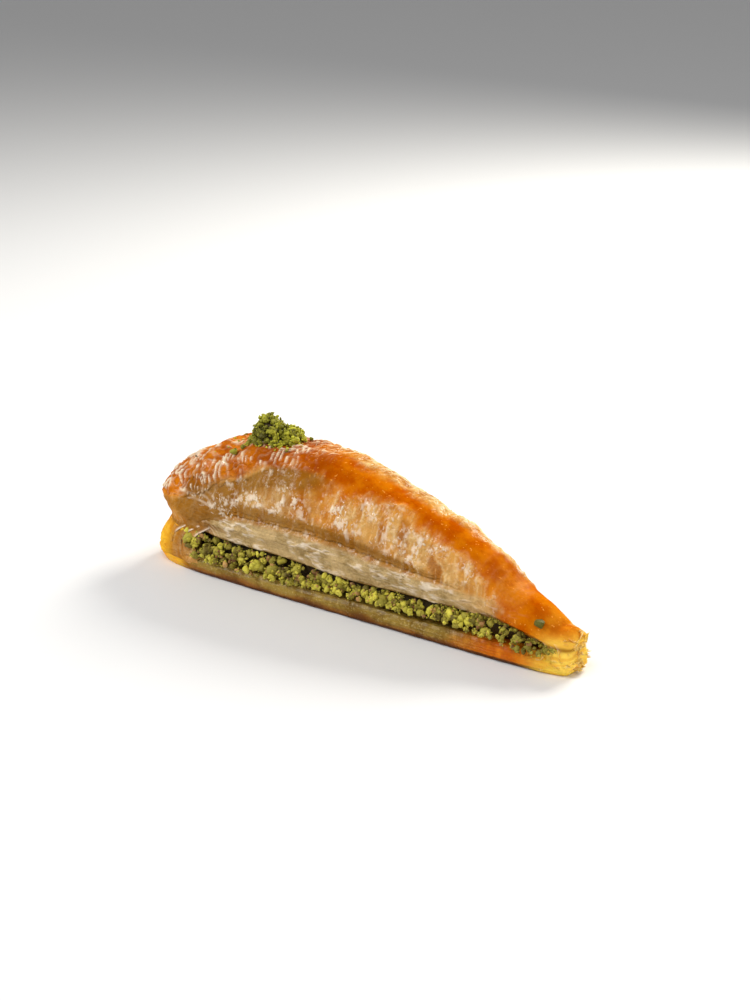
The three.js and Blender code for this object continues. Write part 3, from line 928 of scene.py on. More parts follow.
# %% Sheets round the ends
def wrapped(centre, reach, bow, z_low, z_high, seam, lift, rows, columns, seed):
    """Sheets round one end of the slice, over both stacks. Their ends bow back at the nuts.

    centre is the end's turn, and reach how far the sheets run to each side of it, which grows
    with bow times the squared distance from the seam. Low rows follow the lower stack, high rows
    the upper one, and a Gaussian average over the height joins them. It returns the points, the
    places that they take their colour from, and how near each is to a free edge."""
    z = np.linspace(z_low, z_high, rows)
    ends = reach + bow * np.minimum(((z - seam + 0.3 * seam) / (0.4 * seam)) ** 2, 3)
    turn = centre + np.linspace(-1, 1, columns)[None, :] * ends[:, None]
    slab = slab_height(wedge_outline(turn, LOWER_START, LOWER_END, 1)[0])
    low = lower_surface(turn, np.minimum(z[:, None] / slab, 1))
    high, _, smooth = upper_surface(turn, height_to_angle(turn, z[:, None]))
    mix = ramp(z, seam - 0.9, 1.8)[:, None, None]
    p = low * (1 - mix) + high * mix
    p = bridged(p, z[1] - z[0])
    p[..., 2] = z[:, None]
    middle = np.array([(SPINE_START if centre < 0.25 else SPINE_END - 8), 0, 0])
    outward = unit((p - middle) * [1, 1, 0])
    edge = np.minimum(z - z_low, z_high - z)[:, None] + 0.8 * noise(p, (3, 3, 3), seed + 2)
    from_end = (1 - np.abs(np.linspace(-1, 1, columns)))[None, :] * ends[:, None] * OUTLINE_ROUND
    off_nuts = np.maximum(ramp(z, 1.05 * seam, 3), 1 - ramp(z, 0.3 * seam, 1.5))[:, None]
    buried = np.maximum(1 - ramp(edge, 0.3, 1.6), (1 - ramp(from_end, 0, 4)) * off_nuts)
    crinkle = 0.3 * creases(p, (5, 5, 1.4), seed) + 0.25 * noise(p, (3, 3, 2.5), seed + 1)
    away = (lift + crinkle) * (1 - buried) - 0.5 * buried
    p[..., 2] -= 0.6 * buried * ramp(z, 1.2 * seam, 2)[:, None]
    free_edge = bump(from_end, 0, 0.9) * ramp(z, 0.8 * seam, 2)[:, None]
    colored_as = smooth * [1, 1, 0] + [0, 0, 1] * z[:, None, None]
    return p + outward * away[..., None], colored_as, free_edge


wide_end = dict(centre=0, bow=0.012, z_low=2, z_high=25, seam=SEAM, rows=60, columns=210)
tip_end = dict(centre=0.5, bow=0.004, z_low=0.8, z_high=12.6, seam=TIP_SEAM, rows=40, columns=90)
wraps = [
    wrapped(reach=reach, lift=lift, seed=seed, **place)
    for place, reach, lift, seed in (
        (wide_end, 0.082, 0.45, 151),
        (wide_end, 0.093, 0.28, 154),
        (wide_end, 0.104, 0.12, 157),
        (tip_end, 0.019, 0.5, 161),
        (tip_end, 0.024, 0.3, 164),
        (tip_end, 0.029, 0.12, 167),
    )
]
# The free edges show pale at the wide end and hardly at the tip.
faint = [1, 1, 1, 0.2, 0.2, 0.2]
pale_edges = np.concatenate([share * edge.ravel() for share, (_, _, edge) in zip(faint, wraps)])
wrap_grids = [grids[:2] for grids in wraps]
plain = {"glint": 0, "band_glint": 0, "highlight_and_pale_edge": pale_edges}
wrap = strips_piece("end_sheets", wrap_grids, 0.14, "browned_sheets", **plain)

# %% [markdown]
# ## Nut bits
#
# Pistachio chopped with its oil sticks together: a bit is lumpy, with smaller grains all over it.
# Modelling them one by one would be slow, and instances wouldn't survive an export. So all bits
# of one kind are one joined mesh. The corners of a small ball are pulled in by a handful of
# random cuts for all the bits at once, and a clump is a middle bit with grains round it.

# %% Bits
CUTS = 10  # random cuts that shape each bit


def ball(subdivisions):
    """Corner directions and triangles of an icosphere."""
    bm = bmesh.new()
    bmesh.ops.create_icosphere(bm, subdivisions=subdivisions, radius=1)
    corners = np.array([v.co[:] for v in bm.verts])
    faces = np.array([[v.index for v in f.verts] for f in bm.faces])
    bm.free()
    return corners, faces


def nut_bits(name, centres, radii, tones, seed, detail=1, sharp=12):
    """One mesh of many bits. In direction d, a bit reaches (sum of (n.d / h)^q)^(-1/q).

    n and h are the directions and depths of its cuts. A large power q makes sharp edges."""
    rng = np.random.default_rng(seed)
    corners, faces = ball(detail)
    count = len(centres)
    cuts = unit(rng.normal(size=(count, CUTS, 3)))
    depth = rng.uniform(0.6, 1.0, (count, CUTS))
    facing = np.maximum(0.02, np.einsum("vj,kcj->kvc", corners, cuts)) / depth[:, None, :]
    reach = (facing**sharp).sum(-1) ** (-1 / sharp)
    stretch = rng.uniform(0.65, 1.25, (count, 1, 3))
    shape = corners[None] * np.minimum(reach, 1.25)[..., None] * stretch
    points = centres[:, None, :] + shape * np.asarray(radii)[:, None, None]
    all_faces = faces[None] + np.arange(count)[:, None, None] * len(corners)
    piece, used = new_piece(name, points.reshape(-1, 3), all_faces.reshape(-1, 3))
    store(piece, used, tone=np.repeat(tones, len(corners)))
    return piece


print("a small bit has", len(ball(1)[1]), "triangles and a large one", len(ball(2)[1]))


# %% Clumps
def clump_grains(centres, radii, tones, grains, rng, size_low=0.22, size_high=0.46):
    """Places, radii and tones of the grains that stick all over each clump's middle bit."""
    shape = (len(centres), grains)
    direction = unit(rng.normal(size=(*shape, 3)))
    size = radii[:, None] * rng.uniform(size_low, size_high, shape)
    places = centres[:, None] + direction * (radii[:, None] - 0.5 * size)[..., None]
    tone = np.clip(tones[:, None] + rng.normal(0, 0.22, shape), 0, 1)
    return places.reshape(-1, 3), size.ravel(), tone.ravel()


one_clump = (np.zeros((1, 3)), np.ones(1), np.ones(1))
grain_sizes = clump_grains(*one_clump, 4, np.random.default_rng(1))[1]
print("radii of four grains round a clump of 1 mm:", grain_sizes.round(2))

# %% [markdown]
# ## The pistachio layer
#
# The layer runs right through the slice. Between the stacks only its edge shows, so a core that is
# painted dark, as the shade under the lip, fills the inside, and clumps are set along both cut sides
# in four rows: the lowest overhangs the slab, the upper ones lie further in and leave a shaded gap
# under the lip. Near the tip, where the layer is thin, a fifth row closes the gap.

# %% The layer's dark core
LAYER_START = -HALF + 18.5
LAYER_END = HALF - 7.5
CORE_DEPTH = 4.2  # how far inside the cut sides it stays
CORE_COUNT = 400
core_turns = np.arange(CORE_COUNT) / CORE_COUNT
core_ox, core_oy = wedge_outline(core_turns, LAYER_START - 1, LAYER_END - 4, -CORE_DEPTH)
core_low = np.stack([core_ox, core_oy, 0 * core_ox + SLAB + GAP], -1)
core_high = np.stack([core_ox, core_oy, lip_height(core_ox) + 0.1], -1)
core_points = np.stack([core_low * [1, 0, 1], core_low, core_high, core_high * [1, 0, 1]])
core_rings = len(core_points)
core_faces = weld_mirrored(skin_faces(core_rings, CORE_COUNT), core_rings, CORE_COUNT)
core, used = new_piece("nut_core", core_points.reshape(-1, 3), core_faces)
# Tone 0 gives the darkest nut colours: painted shade inside the layer.
store(core, used, tone=np.zeros(core_points.shape[:2]))
print("core:", triangles(core), "triangles")

# %% Where the clumps stand
NUTS_WIDEST = 24.2  # no clump reaches further from the middle line
# Each row gives the step between clumps, the share of the gap's height that they lie at, how far
# inside the cut side they start, and the smallest and largest radius.
NUT_ROWS = (
    (2.2, 0.0, -2.2, 0.7, 1.6),
    (2.8, 0.3, -1.3, 0.9, 2.4),
    (2.5, 0.62, -0.6, 0.8, 1.9),
    (2.2, 0.97, 0.1, 0.7, 1.4),
)
TIP_ROW = (1.5, 0.95, 1.3, 0.9, 1.4)
TIP_ROW_START = 34


def nut_row(rng, side, step, up, depth, radius_low, radius_high, start=LAYER_START):
    """Centres and radii of the clumps along one cut side, -1 at the front and 1 at the back.

    up is the share of the height between slab and lip. Clumps get smaller towards the tip."""
    x = np.arange(start, LAYER_END, step)
    x = x + rng.uniform(-0.45, 0.45, len(x)) * step
    low = slab_height(x) - 0.3 + 1.8 * ramp(x, -30, 36) * (1 - ramp(x, 54, 12))
    low = low + 1.0 * bump(x, 36, 8) + 1.1 * ramp(x, 66, 5)
    high = lip_height(x) - 0.2 + 0.7 * ramp(x, 36, 16)
    radius = rng.uniform(radius_low, radius_high, len(x)) * (1 - 0.3 * ramp(x, 20, 50))
    radius = np.minimum(radius, 0.36 * (high - low))
    z = low + radius + (high - low - 2 * radius) * np.clip(up + rng.normal(0, 0.09, len(x)), 0, 1)
    inward = depth + radius + rng.uniform(-0.5, 0.6, len(x)) + 0.5 * up * ramp(x, 38, 18)
    outward = np.minimum(half_width(x) - inward, NUTS_WIDEST - radius)
    return np.stack([x, side * outward, z], -1), radius


rng = np.random.default_rng(41)
rows = [nut_row(rng, side, *row) for side in (-1, 1) for row in NUT_ROWS]
rows += [nut_row(rng, side, *TIP_ROW, start=TIP_ROW_START) for side in (-1, 1)]
clump_places = np.concatenate([row[0] for row in rows])
clump_radii = np.concatenate([row[1] for row in rows])
clump_tones = rng.uniform(0, 1, len(clump_places))
clump_tones = clump_tones * (1 - 0.5 * ramp(clump_places[:, 0], 44, 26))
print("clumps:", len(clump_places))

# %% Grains, skins and crumbs
GRAINS_EACH = 14  # grains round a clump before some are left out
SKIN_SHARE = 0.16  # share of the grains that still wear their brown skin
HUSK_SHARE = 0.1  # share of the clumps' middle bits that do
CRUMBS = 1500
CRUMB_REACH = 0.8  # how far a crumb lies from the middle of its grain
clumps = (clump_places, clump_radii, clump_tones)
grain_places, grain_radii, grain_tones = clump_grains(*clumps, GRAINS_EACH, rng)
# Some bits are clean chips, others are covered with grains.
covered = rng.choice([0.15, 0.5, 0.95], len(clump_places), p=[0.3, 0.35, 0.35])
kept = rng.uniform(size=len(grain_places)) < np.repeat(covered, GRAINS_EACH)
grain_places, grain_radii, grain_tones = grain_places[kept], grain_radii[kept], grain_tones[kept]
skin = rng.uniform(size=len(grain_places)) < SKIN_SHARE
crumb_pick = rng.integers(0, len(grain_places), CRUMBS)
crumb_places = grain_places[crumb_pick] + unit(rng.normal(size=(CRUMBS, 3))) * CRUMB_REACH
crumb_radii = rng.uniform(0.14, 0.34, CRUMBS)
brown = rng.uniform(size=len(clump_places)) < HUSK_SHARE
print("grains:", len(grain_places), "of them with skin:", skin.sum())

# %% The layer's pieces
filling = [
    core,
    nut_bits("nut_chips", clump_places[~brown], 0.9 * clump_radii[~brown], clump_tones[~brown], 42, 2),
    nut_bits("nut_husks", clump_places[brown], 0.8 * clump_radii[brown], clump_tones[brown], 46, 2),
    nut_bits("nut_grains", grain_places[~skin], grain_radii[~skin], grain_tones[~skin], 43),
    nut_bits("nut_skins", grain_places[skin], grain_radii[skin], grain_tones[skin], 44),
    nut_bits("nut_crumbs", crumb_places, crumb_radii, rng.uniform(0, 1, CRUMBS), 45),
]
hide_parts("pistachio_filling")
print("filling:", sum(triangles(p) for p in filling), "triangles")

# %% [markdown]
# ## The heap of ground pistachio
#
# Ground nuts cling together, so the heap is steep, knobbly and full of dark hollows. Two blunt
# cones make its body. Clumps are spread over them by the golden angle, which leaves no rows.

# %% The heap's form
GOLDEN_ANGLE = math.pi * (3 - math.sqrt(5))
MOUNDS = [
    {"x": -45.2, "y": -1.4, "radius": 9.3, "height": 10.8, "clumps": 48},
    {"x": -37.6, "y": 0.6, "radius": 5.4, "height": 6.8, "clumps": 20},
]


def mound_shape(share):
    """Share of a mound's height at a share of its radius: a blunt cone."""
    return (1 - share**1.4) * (1 - 0.12 * np.sin(np.pi * share))


def over_mound(mound, rng):
    """Clump centres over a mound, evenly spread, each moved a little at random."""
    count = mound["clumps"]
    share = np.sqrt((np.arange(count) + 0.4) / count)
    angle = np.arange(count) * GOLDEN_ANGLE + rng.normal(0, 0.2, count)
    reach = (mound["radius"] - 1.2) * share
    x = mound["x"] + reach * np.cos(angle)
    y = mound["y"] + reach * np.sin(angle)
    base = crest_height(mound["x"]) * (1 - share**2) + crest_height(x) * share**2
    top = base - 0.6 + (mound["height"] - 1.5) * mound_shape(share)
    return np.stack([x, y, np.minimum(top + rng.normal(0, 0.45, count), top[0]) - 0.3], -1)


def mound_body(mound, count=48, rings=7):
    """A smooth core that closes the hollows between the clumps, painted dark as their shade."""
    share = np.linspace(0, 1, rings)[:, None]
    angle = np.arange(count)[None, :] / count * 2 * np.pi
    reach = (mound["radius"] - 1.8) * share
    x = mound["x"] + reach * np.cos(angle)
    y = mound["y"] + reach * np.sin(angle)
    base = crest_height(mound["x"]) * (1 - share**2) + crest_height(x) * share**2
    z = base - 1.6 + (mound["height"] - 1.8) * mound_shape(share)
    top = np.stack([x, y, z], -1)
    bottom = top[-1:] * [1, 1, 0] + [0, 0, crest_height(mound["x"]) - 4]
    closed = bottom * [0, 0, 1] + [mound["x"], mound["y"], 0]
    return np.concatenate([top, bottom, closed])[::-1]


print("the mounds' tops, in mm:", [mound_body(mound)[..., 2].max().round(1) for mound in MOUNDS])

# %% The heap's body
bodies = np.stack([mound_body(mound) for mound in MOUNDS])
body_rings, body_count = bodies.shape[1:3]
body_skin = skin_faces(body_rings, body_count)
body_faces = np.concatenate([body_skin + k * body_rings * body_count for k in range(len(MOUNDS))])
heap_body, used = new_piece("heap_body", bodies.reshape(-1, 3), body_faces)
# Tone 0: painted shade between the clumps.
store(heap_body, used, tone=np.zeros(bodies.shape[:3]))
print("heap body:", triangles(heap_body), "triangles")

# %% The heap's bits
SPECKS_EACH = 18  # specks round a clump
SPECK_SIZES = (0.2, 0.42)  # shares of the clump's radius
HEAP_DUST = 700
DUST_REACH = 0.4  # how far a grain of dust lies from the middle of its speck
SHADED_HOLLOW = (-43.5, -8, 49)  # the middle of a shaded hollow on the heap's front
HOLLOW_SIZE = 5.5
rng = np.random.default_rng(52)
heap_places = np.concatenate([over_mound(mound, rng) for mound in MOUNDS])
heap_radii = rng.uniform(0.9, 1.8, len(heap_places))
heap_tones = rng.uniform(0.3, 1.0, len(heap_places))
hollow = np.linalg.norm((heap_places - SHADED_HOLLOW) / HOLLOW_SIZE, axis=-1)
# Painted shade: bits near the hollow get a darker tone.
heap_tones = heap_tones * (0.15 + 0.85 * ramp(hollow, 0.4, 0.7))
clumps = (heap_places, heap_radii, heap_tones)
speck_places, speck_radii, speck_tones = clump_grains(*clumps, SPECKS_EACH, rng, *SPECK_SIZES)
dust_pick = rng.integers(0, len(speck_places), HEAP_DUST)
dust_places = speck_places[dust_pick] + unit(rng.normal(size=(HEAP_DUST, 3))) * DUST_REACH
dust_radii = rng.uniform(0.12, 0.26, HEAP_DUST)
dust_tones = rng.uniform(0, 1, HEAP_DUST)
heap = [
    heap_body,
    nut_bits("heap_clumps", heap_places, 0.82 * heap_radii, heap_tones, 53, detail=2),
    nut_bits("heap_grains", speck_places, speck_radii, speck_tones, 54),
    nut_bits("heap_dust", dust_places, dust_radii, dust_tones, 55),
]
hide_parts("pistachio_heap")
print("heap:", sum(triangles(p) for p in heap), "triangles")

# %% [markdown]
# ## Stray bits
#
# A few bits fell off the heap or out of the layer and stick to the syrup on the crust, and a ring
# of dust lies round the heap's foot. Each is pressed a little into the nearest point of the
# surface.

# %% Stray bits
# Each row gives x, y, z and radius in mm, and how light the bit is.
STRAYS = np.array(
    [
        [-52.0, -12.6, 44.0, 1.15, 0.5],
        [-50.7, -11.8, 45.0, 0.8, 0.3],
        [-53.2, -12.2, 44.2, 0.6, 0.7],
        [-31.9, -6.9, 45.1, 0.45, 0.4],
        [-32.6, 5.2, 46.0, 0.5, 0.5],
        [-35.0, 5.8, 46.0, 0.6, 0.7],
        [-70.0, -14.5, 40.0, 0.45, 0.0],
        [69.2, -5.6, 14.4, 1.7, 0.1],
    ]
)
GRAINY_STRAYS = 3  # the first three have grains round them
# The ring of dust is longer than wide, because the crest falls off to both sides.
DUST_COUNT = 70
dust_angle = rng.uniform(0, 2 * np.pi, DUST_COUNT)
dust_reach = MOUNDS[0]["radius"] - 0.4 + rng.exponential(1.3, DUST_COUNT)
dust_x = MOUNDS[0]["x"] + dust_reach * np.cos(dust_angle) * 1.15
dust_y = MOUNDS[0]["y"] + dust_reach * np.sin(dust_angle) * 0.8
dust_size = rng.uniform(0.2, 0.5, DUST_COUNT)
dust_tone = rng.uniform(0.6, 1.0, DUST_COUNT)
dust = np.stack([dust_x, dust_y, crest_height(dust_x), dust_size, dust_tone], -1)
loose = np.concatenate([STRAYS, dust])
loose_radii, loose_tones = loose[:, 3], loose[:, 4]
print("stray bits:", len(STRAYS), "and grains of dust:", len(dust))

# %% Set them on the crust
PRESSED_OUT = 0.3  # share of its radius that a bit's middle stands above the surface
outer = outside.reshape(-1, 3)
nearest = np.array([np.argmin(((outer - place) ** 2).sum(-1)) for place in loose[:, :3]])
stray_places = outer[nearest]
stray_places = stray_places + PRESSED_OUT * outside_normal.reshape(-1, 3)[nearest] * loose[:, 3:4]
grainy = [values[:GRAINY_STRAYS] for values in (stray_places, loose_radii, loose_tones)]
stray_grains = clump_grains(*grainy, 10, rng)
strays = [
    nut_bits("stray_bits", stray_places, loose_radii, loose_tones, 56, detail=2),
    nut_bits("stray_grains", *stray_grains, 57),
]
print("strays:", sum(triangles(p) for p in strays), "triangles")

# %% [markdown]
# ## Ragged tip
#
# At the tip the sheets are cut short and dry out, so they split into small curled flakes that
# point outwards. A flake is a little sheet with a torn outline, curved along its length.

# %% One flake
FLAKE_ROWS = 8
FLAKE_COLUMNS = 6
FLAKE_ROOT = 1.3  # how deep a flake's foot sits inside the tip


def flake_grids(places, outward, up, lengths, widths, rng):
    """Grids of torn flakes. Each runs from its place along outward and curls towards up.

    With t along and w across it, a flake narrows as 1 - t^2, bends as t^2 and cups as w^2."""
    count = len(places)
    t = np.linspace(0, 1, FLAKE_ROWS)[None, :, None]
    w = np.linspace(-1, 1, FLAKE_COLUMNS)[None, None, :]
    torn = rng.uniform(0.45, 1.0, (count, 1, FLAKE_COLUMNS))
    along = t * torn * lengths[:, None, None]
    taper = 1 - 0.55 * t**2 * rng.uniform(0.2, 1, (count, 1, 1))
    across = w * taper * widths[:, None, None] / 2 + rng.normal(0, 0.06, (count, FLAKE_ROWS, 1))
    bend = rng.normal(0.0, 0.22, (count, 1, 1)) * t**2 * lengths[:, None, None]
    cup = rng.normal(0, 0.18, (count, 1, 1)) * w**2 * widths[:, None, None]
    side = unit(np.cross(up, outward))
    out = outward[:, None, None] * along[..., None] + side[:, None, None] * across[..., None]
    return places[:, None, None] + out + up[:, None, None] * (bend + cup)[..., None]


print("a flake has", 2 * (FLAKE_ROWS - 1) * (FLAKE_COLUMNS - 1), "triangles on each face")


# %% Flakes at the tip
def scatter_flakes(rng, turns, heights, spread):
    """Flakes on the outside of the slice at given turns and heights, pointing outwards."""
    count = len(turns)
    on_upper = heights > TIP_SEAM + 0.3
    high, _, _ = upper_surface(turns, height_to_angle(turns, heights))
    low_share = heights / slab_height(wedge_outline(turns, LOWER_START, LOWER_END, 1)[0])
    low = lower_surface(turns, np.clip(low_share, 0, 1))
    places = np.where(on_upper[:, None], high, low)
    outward = unit(places - np.array([SPINE_END - 6, 0, 0])) * [1, 1, 0.35]
    outward = unit(outward + rng.normal(0, spread, (count, 3)))
    up = unit(np.array([0, 0, 1]) + rng.normal(0, 0.35, (count, 3)))
    up = unit(up - outward * (up * outward).sum(-1, keepdims=True))
    lengths = rng.uniform(1.8, 3.4, count)
    widths = rng.uniform(0.7, 3.2, count)
    return flake_grids(places - outward * FLAKE_ROOT, outward, up, lengths, widths, rng)


rng = np.random.default_rng(61)
TIP_FLAKES = 120
tip_turns = 0.5 + rng.normal(0, 0.013, TIP_FLAKES)
tip_heights = rng.uniform(1.6, 11.5, TIP_FLAKES)
tip_flakes = scatter_flakes(rng, tip_turns, tip_heights, 0.35)
tip_flakes = [(flake, flake) for flake in tip_flakes]  # a flake is coloured by its own place
# The flakes are golden, without the crest, crust or band, painted shade or painted highlights,
# and paler towards their free ends.
golden_ends = dict.fromkeys(("crest", "crust", "band", "shade", "glint", "band_glint", "highlight_and_pale_edge"), 0)
golden_ends["ends"] = 1
flake_length = np.tile(np.repeat(np.linspace(0, 1, FLAKE_ROWS), FLAKE_COLUMNS), len(tip_flakes))
golden_ends["ridge"] = 0.2 + 0.5 * flake_length
flake_piece = strips_piece("tip_flakes", tip_flakes, 0.08, "browned_sheets", **golden_ends)

# %% [markdown]
# ## Finishes
#
# Baked filo is thin, translucent and coated with butter and syrup. Three things make it read as
# pastry: light that enters and leaves tinted, a glossy coat that catches on every crease, and
# colour that follows how each zone baked. The zones come from the attributes, and noise breaks
# them up. Painted shade, painted highlights and a painted glow on backlit rims are mixed into the
# same colour.


# %% Colours and groups
def srgb(r, g, b):
    """A colour as it looks on a screen, 0 to 255, made linear for the shader."""
    c = np.array([r, g, b]) / 255
    linear = np.where(c <= 0.04045, c / 12.92, ((c + 0.055) / 1.055) ** 2.4)
    return (*linear, 1.0)


def new_group(name, inputs, outputs):
    """A shader node group with named sockets, and its input and output nodes."""
    tree = bpy.data.node_groups.new(name, "ShaderNodeTree")
    for label, kind, value in inputs:
        socket = tree.interface.new_socket(label, in_out="INPUT", socket_type=kind)
        if value is not None:
            socket.default_value = value
    for label, kind in outputs:
        tree.interface.new_socket(label, in_out="OUTPUT", socket_type=kind)
    return tree, tree.nodes.new("NodeGroupInput"), tree.nodes.new("NodeGroupOutput")


print("amber in linear light:", np.round(srgb(146, 92, 30)[:3], 2))


# %% Value nodes
def noise_node(tree, vector, scale, detail, roughness):
    """Blender's noise at a vector, with scale blobs to the metre."""
    node = tree.nodes.new("ShaderNodeTexNoise")
    node.inputs["Scale"].default_value = scale
    node.inputs["Detail"].default_value = detail
    node.inputs["Roughness"].default_value = roughness
    tree.links.new(vector, node.inputs["Vector"])
    return node.outputs["Fac"]


def math_node(tree, operation, a, b=None, clamp=False):
    """One operation on two values, each a number or another node's output."""
    node = tree.nodes.new("ShaderNodeMath")
    node.operation = operation
    node.use_clamp = clamp
    for socket, value in zip(node.inputs, (a, b)):
        if value is None:
            continue
        if isinstance(value, (int, float)):
            socket.default_value = value
        else:
            tree.links.new(value, socket)
    return node.outputs[0]


def range_node(tree, value, low, high, to_low=0.0, to_high=1.0):
    """A smooth step of a value from low to high."""
    node = tree.nodes.new("ShaderNodeMapRange")
    node.interpolation_type = "SMOOTHSTEP"
    node.inputs["From Min"].default_value = low
    node.inputs["From Max"].default_value = high
    node.inputs["To Min"].default_value = to_low
    node.inputs["To Max"].default_value = to_high
    tree.links.new(value, node.inputs["Value"])
    return node.outputs["Result"]


def attribute(tree, name):
    """The number that store kept at each point under this name."""
    node = tree.nodes.new("ShaderNodeAttribute")
    node.attribute_name = name
    return node.outputs["Fac"]


print("a range from 0.2 to 0.6 turns 0.3 into", ramp(0.3, 0.2, 0.4).round(2))

# %% Crinkle group
# Folded noise makes ridges, and finer noise the grain between them. Every finish uses both.
crinkle, crinkle_in, crinkle_out = new_group(
    "crinkle",
    [("Vector", "NodeSocketVector", None), ("Fine", "NodeSocketFloat", 0.35)],
    [("Height", "NodeSocketFloat"), ("Mottle", "NodeSocketFloat"), ("Speckle", "NodeSocketFloat")],
)
vector = crinkle_in.outputs["Vector"]
wide_noise = noise_node(crinkle, vector, 420, detail=5, roughness=0.6)
fine_noise = noise_node(crinkle, vector, 1300, detail=3, roughness=0.6)
folded = math_node(crinkle, "ABSOLUTE", math_node(crinkle, "SUBTRACT", wide_noise, 0.5))
ridges = math_node(crinkle, "SUBTRACT", 1.0, math_node(crinkle, "MULTIPLY", folded, 6.0), True)
fine_part = math_node(crinkle, "MULTIPLY", fine_noise, crinkle_in.outputs["Fine"])
height = math_node(crinkle, "ADD", ridges, fine_part)
crinkle.links.new(height, crinkle_out.inputs["Height"])
mottle = noise_node(crinkle, vector, 170, detail=4, roughness=0.6)
crinkle.links.new(mottle, crinkle_out.inputs["Mottle"])
crinkle.links.new(fine_noise, crinkle_out.inputs["Speckle"])
print("crinkle group:", len(crinkle.nodes), "nodes")


# %% Materials that use the group
def new_material(name):
    """A material with its Principled shader, its tree and a source of Object coordinates."""
    material = bpy.data.materials.new(name)
    material.use_nodes = True
    tree = material.node_tree
    coordinates = tree.nodes.new("ShaderNodeTexCoord").outputs["Object"]
    return material, tree, tree.nodes["Principled BSDF"], coordinates


def add_crinkle(tree, shader, coordinates, distance, strength, fine, relief=1.0, extra=0.0):
    """Places the crinkle group, feeds its height to a bump, and returns the group's outputs."""
    node = tree.nodes.new("ShaderNodeGroup")
    node.node_tree = crinkle
    node.inputs["Fine"].default_value = fine
    tree.links.new(coordinates, node.inputs["Vector"])
    bumped = tree.nodes.new("ShaderNodeBump")
    bumped.inputs["Distance"].default_value = distance
    bumped.inputs["Strength"].default_value = strength
    scaled = math_node(tree, "MULTIPLY", node.outputs["Height"], relief)
    tree.links.new(math_node(tree, "ADD", scaled, extra), bumped.inputs["Height"])
    tree.links.new(bumped.outputs["Normal"], shader.inputs["Normal"])
    return node.outputs


def set_inputs(shader, **values):
    """Sets the shader's own sockets. Underscores in the names stand for spaces."""
    for name, value in values.items():
        shader.inputs[name.replace("_", " ")].default_value = value


print("sockets of the crinkle group:", [socket.name for socket in crinkle.interface.items_tree])

# %% Dashes of light
DASH_LIFT = 0.18  # how far a full mask lifts the noise
DASH_MARGIN = 0.1  # how much of that the limits take back
# Each row gives the stretch, the fineness, the two limits and the mask: upright dashes and fine
# dots on the face, and longer level patches on the pale band.
GLINT_KINDS = (
    ((0.85, 0.85, 0.62), 680, 0.47, 0.72, "glint"),
    ((1, 1, 0.75), 1250, 0.55, 0.68, "glint"),
    ((0.4, 0.4, 1.3), 900, 0.39, 0.7, "band_glint"),
)


def dashes(tree, coordinates, scale, fineness, low, high, mask):
    """Short dashes from noise that is stretched by a scale. They crowd where a mask is high.

    The mask is a named attribute. It lifts the noise, so that more of it passes low and high."""
    stretched = tree.nodes.new("ShaderNodeMapping")
    stretched.inputs["Scale"].default_value = scale
    tree.links.new(coordinates, stretched.inputs["Vector"])
    value = noise_node(tree, stretched.outputs["Vector"], fineness, detail=1.2, roughness=0.5)
    lift = math_node(tree, "MULTIPLY", attribute(tree, mask), DASH_LIFT)
    lifted = math_node(tree, "ADD", value, lift)
    spots = range_node(tree, lifted, low + DASH_MARGIN, high + DASH_MARGIN)
    return math_node(tree, "MULTIPLY", spots, attribute(tree, mask))


def all_glints(tree, coordinates):
    """All kinds of dashes on the pastry, from 0 to 1: the brightest wins."""
    brightest, *others = [dashes(tree, coordinates, *kind) for kind in GLINT_KINDS]
    for other in others:
        brightest = math_node(tree, "MAXIMUM", brightest, other)
    return brightest


print("dashes follow the shares", [kind[-1] for kind in GLINT_KINDS])

# %% Baked colours
# The pale sheets come first. Each row then gives a zone and the two shades that a blotch mixes.
ZONE_COLORS = (
    ("gold", srgb(222, 148, 50), srgb(204, 120, 28)),
    ("band", srgb(198, 166, 114), srgb(160, 130, 80)),
    ("crest", srgb(204, 110, 4), srgb(180, 78, 0)),
    ("crust", srgb(216, 122, 14), srgb(176, 84, 4)),
)


def mix_node(tree, factor, a, b):
    """Colour a where the factor is 0 and b where it is 1."""
    node = tree.nodes.new("ShaderNodeMix")
    node.data_type = "RGBA"
    for socket, value in ((node.inputs[0], factor), (node.inputs[6], a), (node.inputs[7], b)):
        if isinstance(value, (int, float, tuple)):
            socket.default_value = value
        else:
            tree.links.new(value, socket)
    return node.outputs[2]


def level_sheets(tree, coordinates):
    """Faint level streaks where the ends of many sheets lie over each other."""
    streaks = dashes(tree, coordinates, (0.1, 0.1, 1), 900, 0.5, 0.7, "ends")
    return math_node(tree, "MULTIPLY", streaks, 0.45)


def baked_color(tree, coordinates, mottle):
    """The colour that each zone baked to, mixed in turn over the pale sheets, with a painted sheen
    where the pale film lies and a paler painted glow on backlit ends.
    """
    blotch = range_node(tree, mottle, 0.36, 0.64)
    color = mix_node(tree, blotch, srgb(200, 128, 42), srgb(160, 90, 22))
    # Pale film, partly a painted sheen.
    film_and_sheen = math_node(tree, "MULTIPLY", attribute(tree, "film_and_sheen"), 0.5)
    color = mix_node(tree, film_and_sheen, color, srgb(236, 190, 112))
    for zone, light, dark in ZONE_COLORS:
        color = mix_node(tree, attribute(tree, zone), color, mix_node(tree, blotch, light, dark))
    golden = mix_node(tree, blotch, srgb(252, 196, 56), srgb(244, 164, 28))
    # Painted glow: backlit ends, where the light shines through, turn paler.
    golden = mix_node(tree, attribute(tree, "backlit"), golden, srgb(254, 212, 88))
    color = mix_node(tree, attribute(tree, "ends"), color, golden)
    color = mix_node(tree, level_sheets(tree, coordinates), color, srgb(230, 150, 36))
    burnt = math_node(tree, "MULTIPLY", attribute(tree, "burnt"), 0.95)
    return mix_node(tree, burnt, color, srgb(150, 62, 0))


